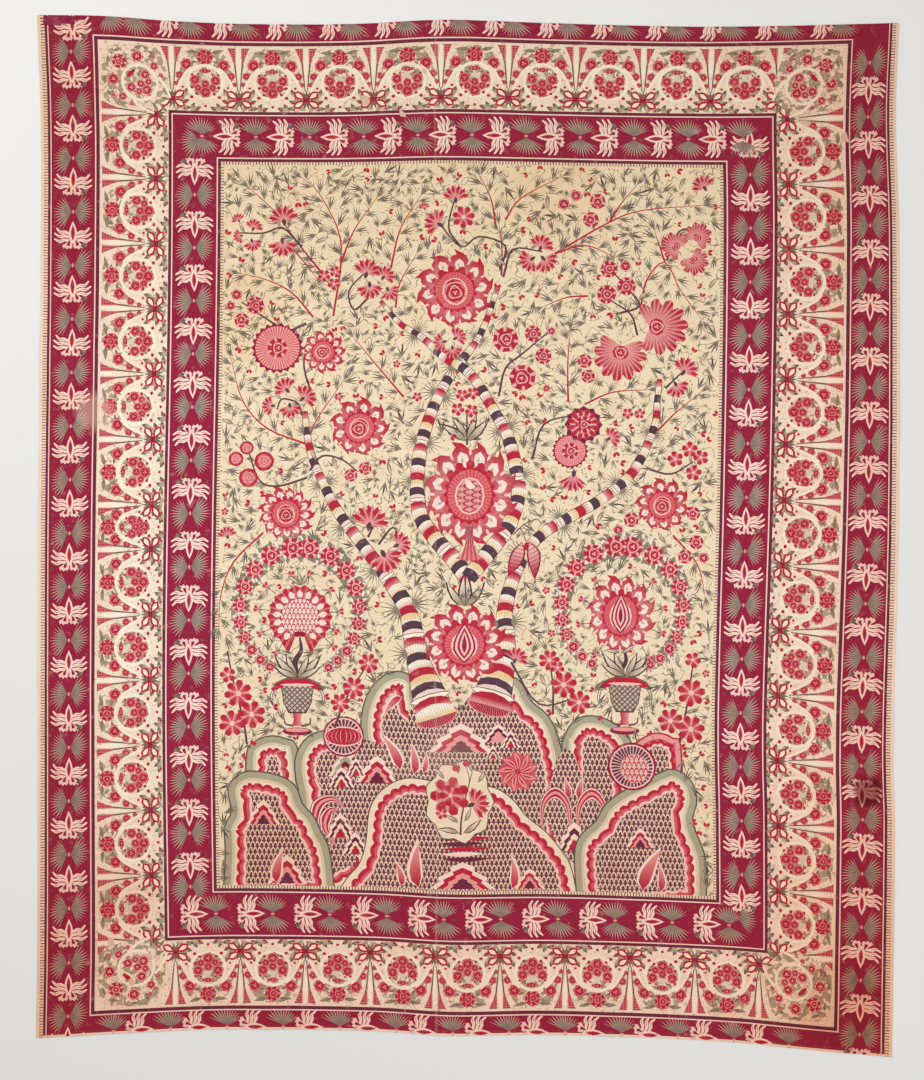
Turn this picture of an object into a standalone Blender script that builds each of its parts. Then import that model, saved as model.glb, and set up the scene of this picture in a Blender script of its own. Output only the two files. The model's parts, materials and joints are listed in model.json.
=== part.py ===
"""A painted and dyed cotton panel lying flat and face up, with the small patch sewn over its corner.

Metres, +Z up. The cloth lies on z = 0 with the top of its design towards +Y. The origin is on that
surface, under the middle of the cloth's outline.
"""
import math
from collections import namedtuple

import bmesh
import bpy

# The cloth's four corners. Hand-made cloth is never square: the right side is the longer one, and
# the bottom edge runs down towards it.
Corner = namedtuple("Corner", "x y")
TOP_LEFT = Corner(-1.2140, 1.4690)
TOP_RIGHT = Corner(1.2168, 1.4464)
BOTTOM_LEFT = Corner(-1.2168, -1.4156)
BOTTOM_RIGHT = Corner(1.1970, -1.4690)

# How far each edge lies inside the straight line between its corners. `along` runs from 0 to 1,
# left to right on the top and bottom edges and top to bottom on the sides.
EdgePoint = namedtuple("EdgePoint", "along inset")
TOP_EDGE = (
    EdgePoint(0.00, 0.000),
    EdgePoint(0.08, 0.001),
    EdgePoint(0.15, 0.013),
    EdgePoint(0.24, 0.020),
    EdgePoint(0.37, 0.017),
    EdgePoint(0.47, 0.003),
    EdgePoint(0.60, 0.010),
    EdgePoint(0.75, 0.016),
    EdgePoint(0.87, 0.011),
    EdgePoint(1.00, 0.000),
)
BOTTOM_EDGE = (
    EdgePoint(0.00, 0.000),
    EdgePoint(0.10, 0.019),
    EdgePoint(0.22, 0.037),
    EdgePoint(0.40, 0.041),
    EdgePoint(0.48, 0.032),
    EdgePoint(0.60, 0.042),
    EdgePoint(0.80, 0.034),
    EdgePoint(0.91, 0.014),
    EdgePoint(1.00, 0.000),
)
LEFT_EDGE = (
    EdgePoint(0.00, 0.000),
    EdgePoint(0.10, 0.011),
    EdgePoint(0.27, 0.011),
    EdgePoint(0.50, 0.005),
    EdgePoint(0.90, 0.004),
    EdgePoint(1.00, 0.000),
)
RIGHT_EDGE = (
    EdgePoint(0.00, 0.000),
    EdgePoint(0.09, 0.008),
    EdgePoint(0.20, -0.004),
    EdgePoint(0.48, -0.009),
    EdgePoint(0.66, 0.001),
    EdgePoint(0.71, 0.003),
    EdgePoint(0.77, -0.004),
    EdgePoint(1.00, 0.000),
)

SHEET_THICKNESS = 0.0020
HEM_WIDTH = 0.0140
HEM_EXTRA = 0.0008

# The low soft ridges left where the cloth doesn't lie quite flat: the crease down its middle and
# the short folds that fan out from the corners and the edges' high points. Each ridge has its
# centre, its direction in degrees from +X, its whole length, half its width, and its height.
Ridge = namedtuple("Ridge", "x y turn length half_width height")
RIDGES = (
    Ridge(-0.080, 0.020, 90.0, 2.96, 0.055, 0.0030),
    Ridge(-0.225, 1.230, 62.0, 0.50, 0.060, 0.0045),
    Ridge(0.095, 1.240, 118.0, 0.46, 0.060, 0.0040),
    Ridge(-1.000, 1.180, 128.0, 0.58, 0.070, 0.0050),
    Ridge(-0.760, 1.280, 100.0, 0.40, 0.060, 0.0030),
    Ridge(1.030, 1.180, 56.0, 0.60, 0.070, 0.0055),
    Ridge(0.633, 0.950, 91.0, 1.05, 0.050, 0.0025),
    Ridge(-1.120, 0.520, 12.0, 0.34, 0.080, 0.0035),
    Ridge(-1.130, -0.420, -8.0, 0.30, 0.070, 0.0030),
    Ridge(1.120, 0.330, -10.0, 0.32, 0.075, 0.0035),
    Ridge(1.090, -0.560, 14.0, 0.34, 0.080, 0.0040),
    Ridge(-0.980, -1.210, 58.0, 0.50, 0.065, 0.0045),
    Ridge(-0.560, -1.270, 84.0, 0.42, 0.060, 0.0030),
    Ridge(0.380, -1.280, 96.0, 0.40, 0.060, 0.0030),
    Ridge(0.960, -1.220, 122.0, 0.52, 0.070, 0.0050),
)

# The mesh's columns are even. Its rows are close together at the hems and wider in the middle.
COLUMNS = 42
ROWS = 34
ROW_CROWDING = 0.55

# The patch: a scrap of dark red cloth whose lower edge steps up towards its right end.
PATCH_LEFT = -1.1960
PATCH_RIGHT = -1.1070
PATCH_EDGE_GAP = 0.0025
PATCH_STEP_AT = 0.55
PATCH_HEIGHT_LEFT = 0.0260
PATCH_HEIGHT_RIGHT = 0.0215
PATCH_THICKNESS = 0.0012
PATCH_CLEARANCE = 0.0003


def clear_scene():
    """Removes whatever the scene holds."""
    for obj in list(bpy.data.objects):
        bpy.data.objects.remove(obj, do_unlink=True)


def make_material(name, colour, roughness):
    """A plain cloth finish."""
    material = bpy.data.materials.new(name)
    material.use_nodes = True
    shader = material.node_tree.nodes["Principled BSDF"]
    shader.inputs["Base Color"].default_value = (*colour, 1.0)
    shader.inputs["Roughness"].default_value = roughness
    shader.inputs["Metallic"].default_value = 0.0
    return material


def add_object(name, bm, material):
    """Turns a bmesh into a named object with outward faces."""
    bmesh.ops.recalc_face_normals(bm, faces=bm.faces)
    mesh = bpy.data.meshes.new(name)
    bm.to_mesh(mesh)
    bm.free()
    mesh.materials.append(material)
    obj = bpy.data.objects.new(name, mesh)
    bpy.context.scene.collection.objects.link(obj)
    return obj


def inset_at(edge, along):
    """The inset of a smooth line through the edge's points."""
    last = len(edge) - 2
    i = min(max(sum(point.along <= along for point in edge) - 1, 0), last)
    before, start, end, after = (edge[min(max(i + k, 0), last + 1)] for k in (-1, 0, 1, 2))
    span = end.along - start.along
    t = (along - start.along) / span
    slope_start = span * (end.inset - before.inset) / (end.along - before.along)
    slope_end = span * (after.inset - start.inset) / (after.along - start.along)
    return (
        start.inset * (2 * t**3 - 3 * t**2 + 1)
        + slope_start * (t**3 - 2 * t**2 + t)
        + end.inset * (3 * t**2 - 2 * t**3)
        + slope_end * (t**3 - t**2)
    )


def cloth_point(across, down):
    """Where the point that lies these shares across and down the cloth is, seen from above."""
    top_x = TOP_LEFT.x + across * (TOP_RIGHT.x - TOP_LEFT.x)
    top_y = TOP_LEFT.y + across * (TOP_RIGHT.y - TOP_LEFT.y)
    bottom_x = BOTTOM_LEFT.x + across * (BOTTOM_RIGHT.x - BOTTOM_LEFT.x)
    bottom_y = BOTTOM_LEFT.y + across * (BOTTOM_RIGHT.y - BOTTOM_LEFT.y)
    x = top_x + down * (bottom_x - top_x)
    y = top_y + down * (bottom_y - top_y)
    x += (1 - across) * inset_at(LEFT_EDGE, down) - across * inset_at(RIGHT_EDGE, down)
    y += down * inset_at(BOTTOM_EDGE, across) - (1 - down) * inset_at(TOP_EDGE, across)
    return x, y


def lift_at(x, y):
    """How high the cloth's underside is off the surface."""
    lift = 0.0
    for ridge in RIDGES:
        turn = math.radians(ridge.turn)
        dx = x - ridge.x
        dy = y - ridge.y
        along = abs(dx * math.cos(turn) + dy * math.sin(turn)) / (ridge.length / 2)
        aside = abs(dy * math.cos(turn) - dx * math.sin(turn)) / ridge.half_width
        if along < 1 and aside < 1:
            rise = math.cos(math.pi * aside / 2) ** 2
            lift += ridge.height * rise * math.cos(math.pi * along / 2)
    return lift


def row_shares():
    """Where the rows lie down the cloth, with one along the inner side of each turned hem."""
    hem = HEM_WIDTH / (TOP_LEFT.y - BOTTOM_LEFT.y)
    shares = [0.0]
    for i in range(ROWS - 1):
        even = i / (ROWS - 2)
        eased = even - ROW_CROWDING * math.sin(2 * math.pi * even) / (2 * math.pi)
        shares.append(hem + eased * (1 - 2 * hem))
    shares.append(1.0)
    return shares


def make_panel():
    """The cloth: one sheet with its top and underside a thickness apart, thicker at its hems."""
    bm = bmesh.new()
    top = []
    underside = []
    shares = row_shares()
    for i, down in enumerate(shares):
        in_hem = i in (0, 1, len(shares) - 2, len(shares) - 1)
        thickness = SHEET_THICKNESS + (HEM_EXTRA if in_hem else 0.0)
        places = [cloth_point(j / COLUMNS, down) for j in range(COLUMNS + 1)]
        lifts = [lift_at(x, y) for x, y in places]
        underside.append([bm.verts.new((x, y, z)) for (x, y), z in zip(places, lifts)])
        top.append([bm.verts.new((x, y, z + thickness)) for (x, y), z in zip(places, lifts)])
    for layer in (top, underside):
        for upper, lower in zip(layer, layer[1:]):
            for j in range(COLUMNS):
                bm.faces.new((upper[j], lower[j], lower[j + 1], upper[j + 1]))
    rims = (
        (top[0], underside[0]),
        (top[-1], underside[-1]),
        ([row[0] for row in top], [row[0] for row in underside]),
        ([row[-1] for row in top], [row[-1] for row in underside]),
    )
    for high, low in rims:
        for j in range(len(high) - 1):
            bm.faces.new((high[j], high[j + 1], low[j + 1], low[j]))
    bmesh.ops.triangulate(bm, faces=bm.faces)
    return add_object("panel", bm, make_material("dyed_cotton", (0.62, 0.36, 0.30), 0.88))


def make_corner_patch():
    """The patch: a thin strip on the cloth's top left corner, just inside the top edge."""
    start = (PATCH_LEFT - TOP_LEFT.x) / (TOP_RIGHT.x - TOP_LEFT.x)
    end = (PATCH_RIGHT - TOP_LEFT.x) / (TOP_RIGHT.x - TOP_LEFT.x)
    left_y = cloth_point(start, 0.0)[1] - PATCH_EDGE_GAP
    right_y = cloth_point(end, 0.0)[1] - PATCH_EDGE_GAP
    step_x = PATCH_LEFT + PATCH_STEP_AT * (PATCH_RIGHT - PATCH_LEFT)
    outline = (
        (PATCH_LEFT, left_y),
        (PATCH_LEFT, left_y - PATCH_HEIGHT_LEFT),
        (step_x, left_y - PATCH_HEIGHT_LEFT),
        (step_x, right_y - PATCH_HEIGHT_RIGHT),
        (PATCH_RIGHT, right_y - PATCH_HEIGHT_RIGHT),
        (PATCH_RIGHT, right_y),
    )
    bottom = SHEET_THICKNESS + HEM_EXTRA + PATCH_CLEARANCE
    bottom += max(lift_at(x, y) for x, y in outline)
    bm = bmesh.new()
    face = bm.faces.new([bm.verts.new((x, y, bottom)) for x, y in outline])
    raised = bmesh.ops.extrude_face_region(bm, geom=[face])["geom"]
    raised_verts = [item for item in raised if isinstance(item, bmesh.types.BMVert)]
    bmesh.ops.translate(bm, vec=(0.0, 0.0, PATCH_THICKNESS), verts=raised_verts)
    return add_object("corner_patch", bm, make_material("patch_cotton", (0.19, 0.02, 0.05), 0.85))


clear_scene()
make_panel()
make_corner_patch()
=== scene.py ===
import json
import math
from collections import namedtuple

import bpy
import numpy as np
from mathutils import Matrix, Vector
from mathutils.geometry import delaunay_2d_cdt

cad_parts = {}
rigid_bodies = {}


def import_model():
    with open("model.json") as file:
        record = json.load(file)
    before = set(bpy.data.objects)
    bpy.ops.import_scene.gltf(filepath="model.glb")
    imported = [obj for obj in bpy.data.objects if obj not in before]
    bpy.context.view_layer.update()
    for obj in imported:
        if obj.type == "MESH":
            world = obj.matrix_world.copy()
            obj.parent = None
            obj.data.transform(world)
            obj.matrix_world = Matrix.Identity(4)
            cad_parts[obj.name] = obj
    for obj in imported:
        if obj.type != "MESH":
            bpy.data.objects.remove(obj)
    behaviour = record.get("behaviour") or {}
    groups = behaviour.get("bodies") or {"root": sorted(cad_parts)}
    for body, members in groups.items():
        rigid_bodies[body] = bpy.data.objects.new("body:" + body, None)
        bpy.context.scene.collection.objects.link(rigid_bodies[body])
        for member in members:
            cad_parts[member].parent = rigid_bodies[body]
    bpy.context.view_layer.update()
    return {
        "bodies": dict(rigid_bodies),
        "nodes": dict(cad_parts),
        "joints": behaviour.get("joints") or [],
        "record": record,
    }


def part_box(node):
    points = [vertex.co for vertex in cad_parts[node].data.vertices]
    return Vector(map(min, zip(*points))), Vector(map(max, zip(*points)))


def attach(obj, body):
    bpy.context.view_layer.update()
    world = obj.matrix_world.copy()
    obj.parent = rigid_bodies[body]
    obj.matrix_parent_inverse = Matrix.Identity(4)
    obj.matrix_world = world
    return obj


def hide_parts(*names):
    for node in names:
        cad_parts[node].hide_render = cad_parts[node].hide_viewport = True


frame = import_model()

# --------------------------------------
# The cotton. One hand-woven cloth, cut by eye, so no side is quite straight. Its outline is read
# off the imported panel, and the design is laid on it from a flat plan that is true and square.

HALF_WIDTH = 1.215
HALF_LENGTH = 1.450
OUTLINE_STATIONS = 61

panel_solid = frame["nodes"]["panel"]
solid_points = np.array([v.co[:2] for v in panel_solid.data.vertices])
solid_edges = solid_points[np.array([e.vertices[:] for e in panel_solid.data.edges])]
TOP_LEFT = solid_points[np.argmax(solid_points @ (-1, 1))]
TOP_RIGHT = solid_points[np.argmax(solid_points @ (1, 1))]
BOTTOM_LEFT = solid_points[np.argmin(solid_points @ (1, 1))]
BOTTOM_RIGHT = solid_points[np.argmax(solid_points @ (1, -1))]


def side_inset(start, end, axis, outward):
    """How far one side of the solid lies inside the straight line between its two corners."""
    stations = np.linspace(0.0, 1.0, OUTLINE_STATIONS)
    insets = []
    for station in stations:
        point = start + station * (end - start)
        near, far = solid_edges[:, 0], solid_edges[:, 1]
        span = far[:, axis] - near[:, axis]
        share = (point[axis] - near[:, axis]) / np.where(np.abs(span) < 1e-6, 1.0, span)
        crossed = (np.abs(span) >= 1e-6) & (share >= -1e-4) & (share <= 1.0 + 1e-4)
        other = near[:, 1 - axis] + share * (far[:, 1 - axis] - near[:, 1 - axis])
        insets.append(outward * (point[1 - axis] - np.max(outward * other[crossed]) * outward))
    insets[0] = insets[-1] = 0.0
    return stations, np.array(insets)


TOP_INSET = side_inset(TOP_LEFT, TOP_RIGHT, 0, 1)
BOTTOM_INSET = side_inset(BOTTOM_LEFT, BOTTOM_RIGHT, 0, -1)
LEFT_INSET = side_inset(TOP_LEFT, BOTTOM_LEFT, 1, -1)
RIGHT_INSET = side_inset(TOP_RIGHT, BOTTOM_RIGHT, 1, 1)

# The nested lines of the design, which the dyer ruled by hand: where each is in the plan, and the
# share of the way across (or down) the cloth where it starts and ends.
Ruled = namedtuple("Ruled", "plan start end")
UPRIGHTS = (
    Ruled(-HALF_WIDTH, 0.0000, 0.0000),
    Ruled(-1.0584, 0.0653, 0.0639),
    Ruled(-0.8504, 0.1502, 0.1502),
    Ruled(-0.7010, 0.2114, 0.2117),
    Ruled(0.7195, 0.7981, 0.7944),
    Ruled(0.8682, 0.8614, 0.8535),
    Ruled(1.0707, 0.9462, 0.9354),
    Ruled(HALF_WIDTH, 1.0000, 1.0000),
)
LEVELS = (
    Ruled(-HALF_LENGTH, 1.0000, 1.0000),
    Ruled(-1.3913, 0.9801, 0.9794),
    Ruled(-1.1897, 0.9109, 0.9096),
    Ruled(-1.0452, 0.8597, 0.8611),
    Ruled(1.0511, 0.1388, 0.1363),
    Ruled(1.1971, 0.0892, 0.0852),
    Ruled(1.3990, 0.0200, 0.0152),
    Ruled(HALF_LENGTH, 0.0000, 0.0000),
)
BOW = 0.0046


def ruled_share(lines, plan, along):
    """The share across (or down) the cloth of a place in the plan, this far along the line."""
    plans = [line.plan for line in lines]
    start = np.interp(plan, plans, [line.start for line in lines])
    end = np.interp(plan, plans, [line.end for line in lines])
    return start + along * (end - start)


def lay(points):
    """Carries points of the square plan, as complex numbers, to their places on the cloth."""
    down = (HALF_LENGTH - points.imag) / (2 * HALF_LENGTH)
    across = ruled_share(UPRIGHTS, points.real, down)
    down = ruled_share(LEVELS, points.imag, across)
    inner = np.clip(np.minimum(across, 1 - across) / 0.15, 0, 1)
    across = across - BOW * inner * np.sin(math.pi * np.clip(down, 0, 1) ** 1.6) ** 2
    a, d = across[:, None], down[:, None]
    places = (1 - d) * ((1 - a) * TOP_LEFT + a * TOP_RIGHT) + d * ((1 - a) * BOTTOM_LEFT + a * BOTTOM_RIGHT)
    places[:, 0] += (1 - across) ** 3 * np.interp(down, *LEFT_INSET)
    places[:, 0] -= across**3 * np.interp(down, *RIGHT_INSET)
    places[:, 1] += down**1.5 * np.interp(across, *BOTTOM_INSET)
    places[:, 1] -= (1 - down) ** 4 * np.interp(across, *TOP_INSET)
    return places


# The dyes, each as the eye sees it in daylight, from 0 to 255.
def dye(red, green, blue):
    """One dye in linear light."""
    values = np.array([red, green, blue]) / 255
    return tuple(np.where(values > 0.04045, ((values + 0.055) / 1.055) ** 2.4, values / 12.92))


CREAM = dye(250, 232, 210)
STRAW = dye(244, 225, 191)
RESIST = dye(253, 226, 214)
CRIMSON = dye(154, 30, 64)
RED = dye(184, 36, 62)
ROSE = dye(216, 96, 106)
BLUSH = dye(238, 160, 158)
PINK_WHITE = dye(250, 204, 196)
PLUM = dye(114, 40, 64)
INK = dye(78, 52, 52)
SAGE = dye(156, 142, 118)
MOSS = dye(126, 112, 92)
SILVER = dye(190, 176, 152)

# The ways the dyer finishes a shape with the pen: left plain, veined along its length, barred
# across it, laid in scales, a lattice or small foliage, rayed from its middle, petalled, or strewn
# with curling tendrils and flecks.
PLAIN, VEINS, BARS, SCALES, LATTICE, FOLIAGE, RAYS, PETALS, TENDRILS = range(9)

drawing = []
drawing_rows = []


def paint(outline, base, edge=None, line=None, pen=PLAIN, count=0.0, strength=0.0, frame=None):
    """Adds one closed shape over the earlier ones: its dye, the dye it shades into, and its pen work."""
    outline = np.asarray(outline, complex)
    turned = np.roll(outline, -1)
    if np.sum(outline.real * turned.imag - turned.real * outline.imag) < 0:
        outline = outline[::-1]
    start, reach = frame if frame else (outline[0], 1.0)
    drawing.append(outline)
    drawing_rows.append((*base, *(edge or base), *(line or base), start.real, start.imag, reach.real,
                         reach.imag, pen, count, strength))


def towards(degrees):
    """The way a turn points."""
    return np.exp(1j * math.radians(degrees))


class Hand:
    """Where the dyer's hand is: its place, the way it points and how large it draws."""

    def __init__(self, at, turn=0.0, size=1.0, flip=False):
        self.at = at
        self.reach = size * towards(turn)
        self.flip = flip

    def __call__(self, points):
        points = np.asarray(points, complex)
        return self.at + self.reach * (np.conj(points) if self.flip else points)

    def move(self, at, turn=0.0, size=1.0, flip=False):
        """A hand at a place given in this one's own measure."""
        moved = Hand(complex(self(at)), 0.0, 1.0, self.flip != flip)
        local = size * towards(turn)
        moved.reach = self.reach * (np.conj(local) if self.flip else local)
        return moved

    def frame(self, reach, start=0):
        """Where the shading and pen lines of a shape start, and how far they reach."""
        return complex(self(start)), self.reach * reach


def box(left, bottom, right, top):
    """A ruled rectangle, with a point every few centimetres so that it follows the cloth."""
    corners = [complex(left, bottom), complex(right, bottom), complex(right, top), complex(left, top)]
    points = []
    for start, end in zip(corners, corners[1:] + corners[:1]):
        steps = max(1, round(abs(end - start) / 0.05))
        points += [start + (end - start) * k / steps for k in range(steps)]
    return points


def oval(long, wide, points=12, middle=0j):
    """A smooth oval about its middle."""
    turns = np.exp(2j * math.pi * np.arange(points) / points)
    return middle + long / 2 * turns.real + 1j * wide / 2 * turns.imag


def leaf(long, wide, fullest=0.5, bend=0.0, points=4):
    """A pointed leaf from 0 along +X, widest at a share of its length, its tip bent aside."""
    share = np.linspace(0, 1, points + 2)
    eased = np.where(share < fullest, share / fullest, (1 - share) / (1 - fullest))
    half = wide / 2 * np.sin(eased * math.pi / 2)
    spine = share * long + 1j * bend * share**2
    return np.concatenate([spine - 1j * half, (spine + 1j * half)[-2:0:-1]])


def through(points, steps=6):
    """A smooth line through a few given points."""
    points = np.asarray(points, complex)
    ends = np.concatenate([[2 * points[0] - points[1]], points, [2 * points[-1] - points[-2]]])
    t = np.arange(steps)[:, None] / steps
    a, b, c, d = ends[:-3], ends[1:-2], ends[2:-1], ends[3:]
    curve = b + 0.5 * t * (c - a + t * (2 * a - 5 * b + 4 * c - d + t * (3 * (b - c) + d - a)))
    return np.append(curve.T.ravel(), points[-1])


def ribbon_of(path, widths):
    """The outline of a band along a path, with its own width at each point."""
    side = np.gradient(path)
    side = 1j * side / np.abs(side) * widths / 2
    return np.concatenate([path + side, (path - side)[::-1]])


def ribbon(path, start, end, middle=None):
    """The outline of a stroke along a path, its width running from start to end."""
    share = np.linspace(0, 1, len(path))
    widths = start + (end - start) * share
    if middle is not None:
        widths = np.interp(share, [0, 0.5, 1], [start, middle, end])
    outline = ribbon_of(path, widths)
    if start == 0:
        outline = outline[:-1]
    if end == 0:
        outline = np.delete(outline, len(path))
    return outline


# --------------------------------------
# The ruled grounds. Resist was brushed on for every line that stays white, then the crimson was
# dyed round it; the selvedges keep a narrow ladder of plum ticks on undyed cotton.

LADDER_PITCH = 0.0079
LADDER_IN, LADDER_OUT = 1.195, 1.207
GUARD_FOOT = -1.4440
TICK_PITCH = 0.0084
OUTER = (-1.0584, -1.3913, 1.0707, 1.3990)
INNER = (-0.8504, -1.1897, 0.8682, 1.1971)
FIELD = (-0.7010, -1.0452, 0.7195, 1.0511)


def grown(rectangle, by):
    """A ruled rectangle moved outwards on all four sides."""
    left, bottom, right, top = rectangle
    return left - by, bottom - by, right + by, top + by


def ticked(left, bottom, right, top, pitch, ground, tick, strength=1.0):
    """A strip of short ticks across its length."""
    upright = top - bottom > right - left
    reach = 1j * (top - bottom) if upright else complex(right - left)
    paint(box(left, bottom, right, top), ground, line=tick, pen=BARS, count=round(abs(reach) / pitch),
          strength=strength, frame=(complex(left, bottom), reach))


paint(box(-HALF_WIDTH, -HALF_LENGTH, HALF_WIDTH, HALF_LENGTH), CREAM)
for half, colour in ((LADDER_IN, PLUM), (1.188, RESIST), (1.185, CRIMSON)):
    paint(box(-half, GUARD_FOOT, half, HALF_LENGTH), colour)
for left, right in ((-LADDER_OUT, -LADDER_IN), (LADDER_IN, LADDER_OUT)):
    ticked(left, -HALF_LENGTH, right, HALF_LENGTH, LADDER_PITCH, CREAM, PLUM)

# --------------------------------------
# The crimson guard borders. Palms in pairs, washed grey-brown on the red, take turns with white
# lilies kept by resist and veined with crimson. They were drawn by hand from one pounced pattern.

MM = 0.001
PALM_WASH = dye(112, 78, 80)
PALM_TIP = dye(150, 134, 120)
PALM_BLADE = dye(200, 188, 168)
PALM_BLADES = 12
PALM_ROUND = 34
LILY_RED = dye(196, 52, 70)
HAND_SEED = 11
hand_wobble = np.random.default_rng(HAND_SEED)


def palm_fan(hand, lean):
    """One fan along +X from its root: a washed heart that breaks up into thin pointed blades."""
    blades = np.arange(-PALM_BLADES, PALM_BLADES + 1)
    turns = blades * math.pi / PALM_ROUND
    tips = 53 + 9 * np.maximum(lean * np.sin(turns), -0.4) + hand_wobble.uniform(-3, 3, len(blades))
    reach = np.where(blades % 2 == 0, tips, 0.50 * tips)
    outline = np.concatenate([[1 - 1j], reach * np.exp(1j * turns), [1 + 1j]])
    paint(hand(outline), PALM_WASH, edge=PALM_TIP, line=PALM_BLADE, pen=RAYS, count=PALM_ROUND,
          strength=0.85, frame=hand.frame(46))


def palm_pair(hand, both=True):
    """Two fans set back to back on a small pink knot."""
    palm_fan(hand.move(4), 1)
    if both:
        palm_fan(hand.move(-4, 180), 1)
    paint(hand(oval(7, 12, 6)), BLUSH)


LILY_ARMS = (
    ((3, 7), (11, 22), (10, 35), (23, 47)),
    ((-5, 9), (0, 24), (-2, 38), (8, 53)),
    ((-13, 10), (-12, 26), (-16, 38), (-8, 53)),
)


def lily(hand):
    """A lily that points along +X, with curling white petals and a fringed skirt behind."""
    for side in (1, -1):
        flipped = hand.move(0, flip=side < 0)
        for arm in LILY_ARMS:
            path = through([complex(*point) for point in arm], 2)
            paint(flipped(ribbon(path, 6, 4, 10.5)), RESIST)
            paint(flipped(ribbon(path[2:-1], 0, 0, 2.6)), LILY_RED)
        skirt = [-5 + 5j, -20 + 19j, -27 + 30j, -36 + 27j, -33 + 22j, -39 + 17j, -34 + 11j, -37 + 5j,
                 -30 + 1j]
        paint(flipped(skirt), RESIST, line=LILY_RED, pen=RAYS, count=52, strength=0.45,
              frame=flipped.frame(30, -6 + 4j))
        paint(flipped([-10 + 7j, -22 + 17j, -28 + 17j, -29 + 9j]), CRIMSON)
    paint(hand(leaf(66, 24, 0.42, points=3) - 24), RESIST)
    paint(hand(leaf(46, 12, 0.45, points=3) - 14), LILY_RED)
    paint(hand(leaf(34, 3.5, 0.5, points=1) - 8), PLUM)
    paint(hand(leaf(22, 15, 0.5, points=2) * np.exp(2j) + (-22 - 42j)), PALM_TIP, edge=PALM_WASH,
          frame=hand.frame(20 * np.exp(2j), -22 - 42j))
    paint(hand(oval(10, 8, 5, -30 + 48j)), PALM_WASH)


def evenly(first, last, count):
    """Places set out evenly from the first to the last."""
    return [first + (last - first) * k / (count - 1) for k in range(count)]


def guard_row(palms, lilies, across, pointing):
    """One side of a border: its palms lie across the band, its lilies point along it."""
    for place in evenly(*palms):
        palm_pair(Hand(place, across, MM))
    for place in evenly(*lilies):
        lily(Hand(place, pointing + hand_wobble.uniform(-2, 2), MM))


guard_row((-1.1240 + 1.3535j, -1.1240 - 1.3927j, 19), (-1.1240 + 1.2854j, -1.1240 - 1.4641j, 19), 0, 90)
guard_row((1.1296 + 1.3337j, 1.1296 - 1.3955j, 19), (1.1296 + 1.2577j, 1.1296 - 1.4716j, 19), 0, -90)
guard_row((-0.9409 + 1.4600j, 1.0399 + 1.4600j, 14), (-0.8533 + 1.4600j, 0.9794 + 1.4600j, 13), 90, 180)
palm_fan(Hand(-1.0180 + 1.4560j, -62, MM), 1)
lily(Hand(-1.1180 + 1.4220j, 92, MM))
guard_row((-0.9938 - 1.4430j, 0.9325 - 1.4430j, 13), (-0.9225 - 1.4430j, 0.8430 - 1.4430j, 12), 90, 0)

# --------------------------------------
# The main border. On undyed cotton, flower rings hang in swags of roses between ribbon bows, with
# a pair of ribbed cones and a slim white spindle standing between each swag and the next.

GARLAND_PLUM = 0.0100
GARLAND_WHITE = 0.0036
GARLAND_INK = dye(176, 128, 112)
LEAFAGE = dye(250, 230, 206)
LEAFAGE_GREY = dye(186, 170, 142)
LEAFAGE_DARK = dye(116, 96, 88)
RING_WHITE = dye(255, 244, 224)
PITCH = 184.0
BOW_AT = 0.156

paint(box(*grown(OUTER, GARLAND_WHITE)), RESIST)
paint(box(*OUTER), PLUM)
paint(box(*grown(OUTER, -GARLAND_PLUM)), CREAM, line=GARLAND_INK, pen=TENDRILS, count=44, strength=0.5)


def rose(hand, across, heart=RED, rim=RED, line=PINK_WHITE, lobes=6, petals=2.4):
    """A full rose: lobed, its petals drawn round a dark heart, which large ones show apart."""
    turns = np.arange(2 * lobes) * math.pi / lobes
    reach = across / 2 * np.where(np.arange(2 * lobes) % 2 == 0, 1.0, 0.86)
    small = across < 40
    paint(hand(reach * np.exp(1j * turns)), heart, edge=rim, line=line, pen=PETALS if small else RAYS,
          count=min(petals, 1.5) if small else lobes * 1.0, strength=0.75, frame=hand.frame(across / 2))
    if not small:
        paint(hand(oval(across * 0.62, across * 0.62, 9)), heart, line=line, pen=PETALS, count=petals * 0.8,
              strength=0.85, frame=hand.frame(across * 0.31, 0.04 * across))


def bud(hand, across, colour=RED, points=6):
    """A small round bud or berry."""
    paint(hand(oval(across, across * 0.86, points)), colour)


def sprig_leaf(hand, long, wide, colour=SAGE, vein=MOSS, points=2):
    """One small leaf with a dark middle vein."""
    paint(hand(leaf(long, wide, 0.45, wide * 0.3, points)), vein, edge=colour, frame=hand.frame(long * 0.7))


def bow(hand):
    """Four loops of ribbon round a red knot, with two tails and a few leaves behind."""
    for turn in (50, 75, 105, 130, -68, -90, -112):
        paint(hand(leaf(30, 8, 0.6, points=1) * towards(turn)), MOSS)
    for turn in (30, 150, -34, -146):
        loop = hand.move(3 * towards(turn), turn)
        paint(loop(leaf(40, 24, 0.62, points=3)), RED)
        paint(loop(leaf(26, 12, 0.6, points=2) + 8), RING_WHITE)
    paint(hand(oval(19, 15, 6)), CRIMSON)


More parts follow.
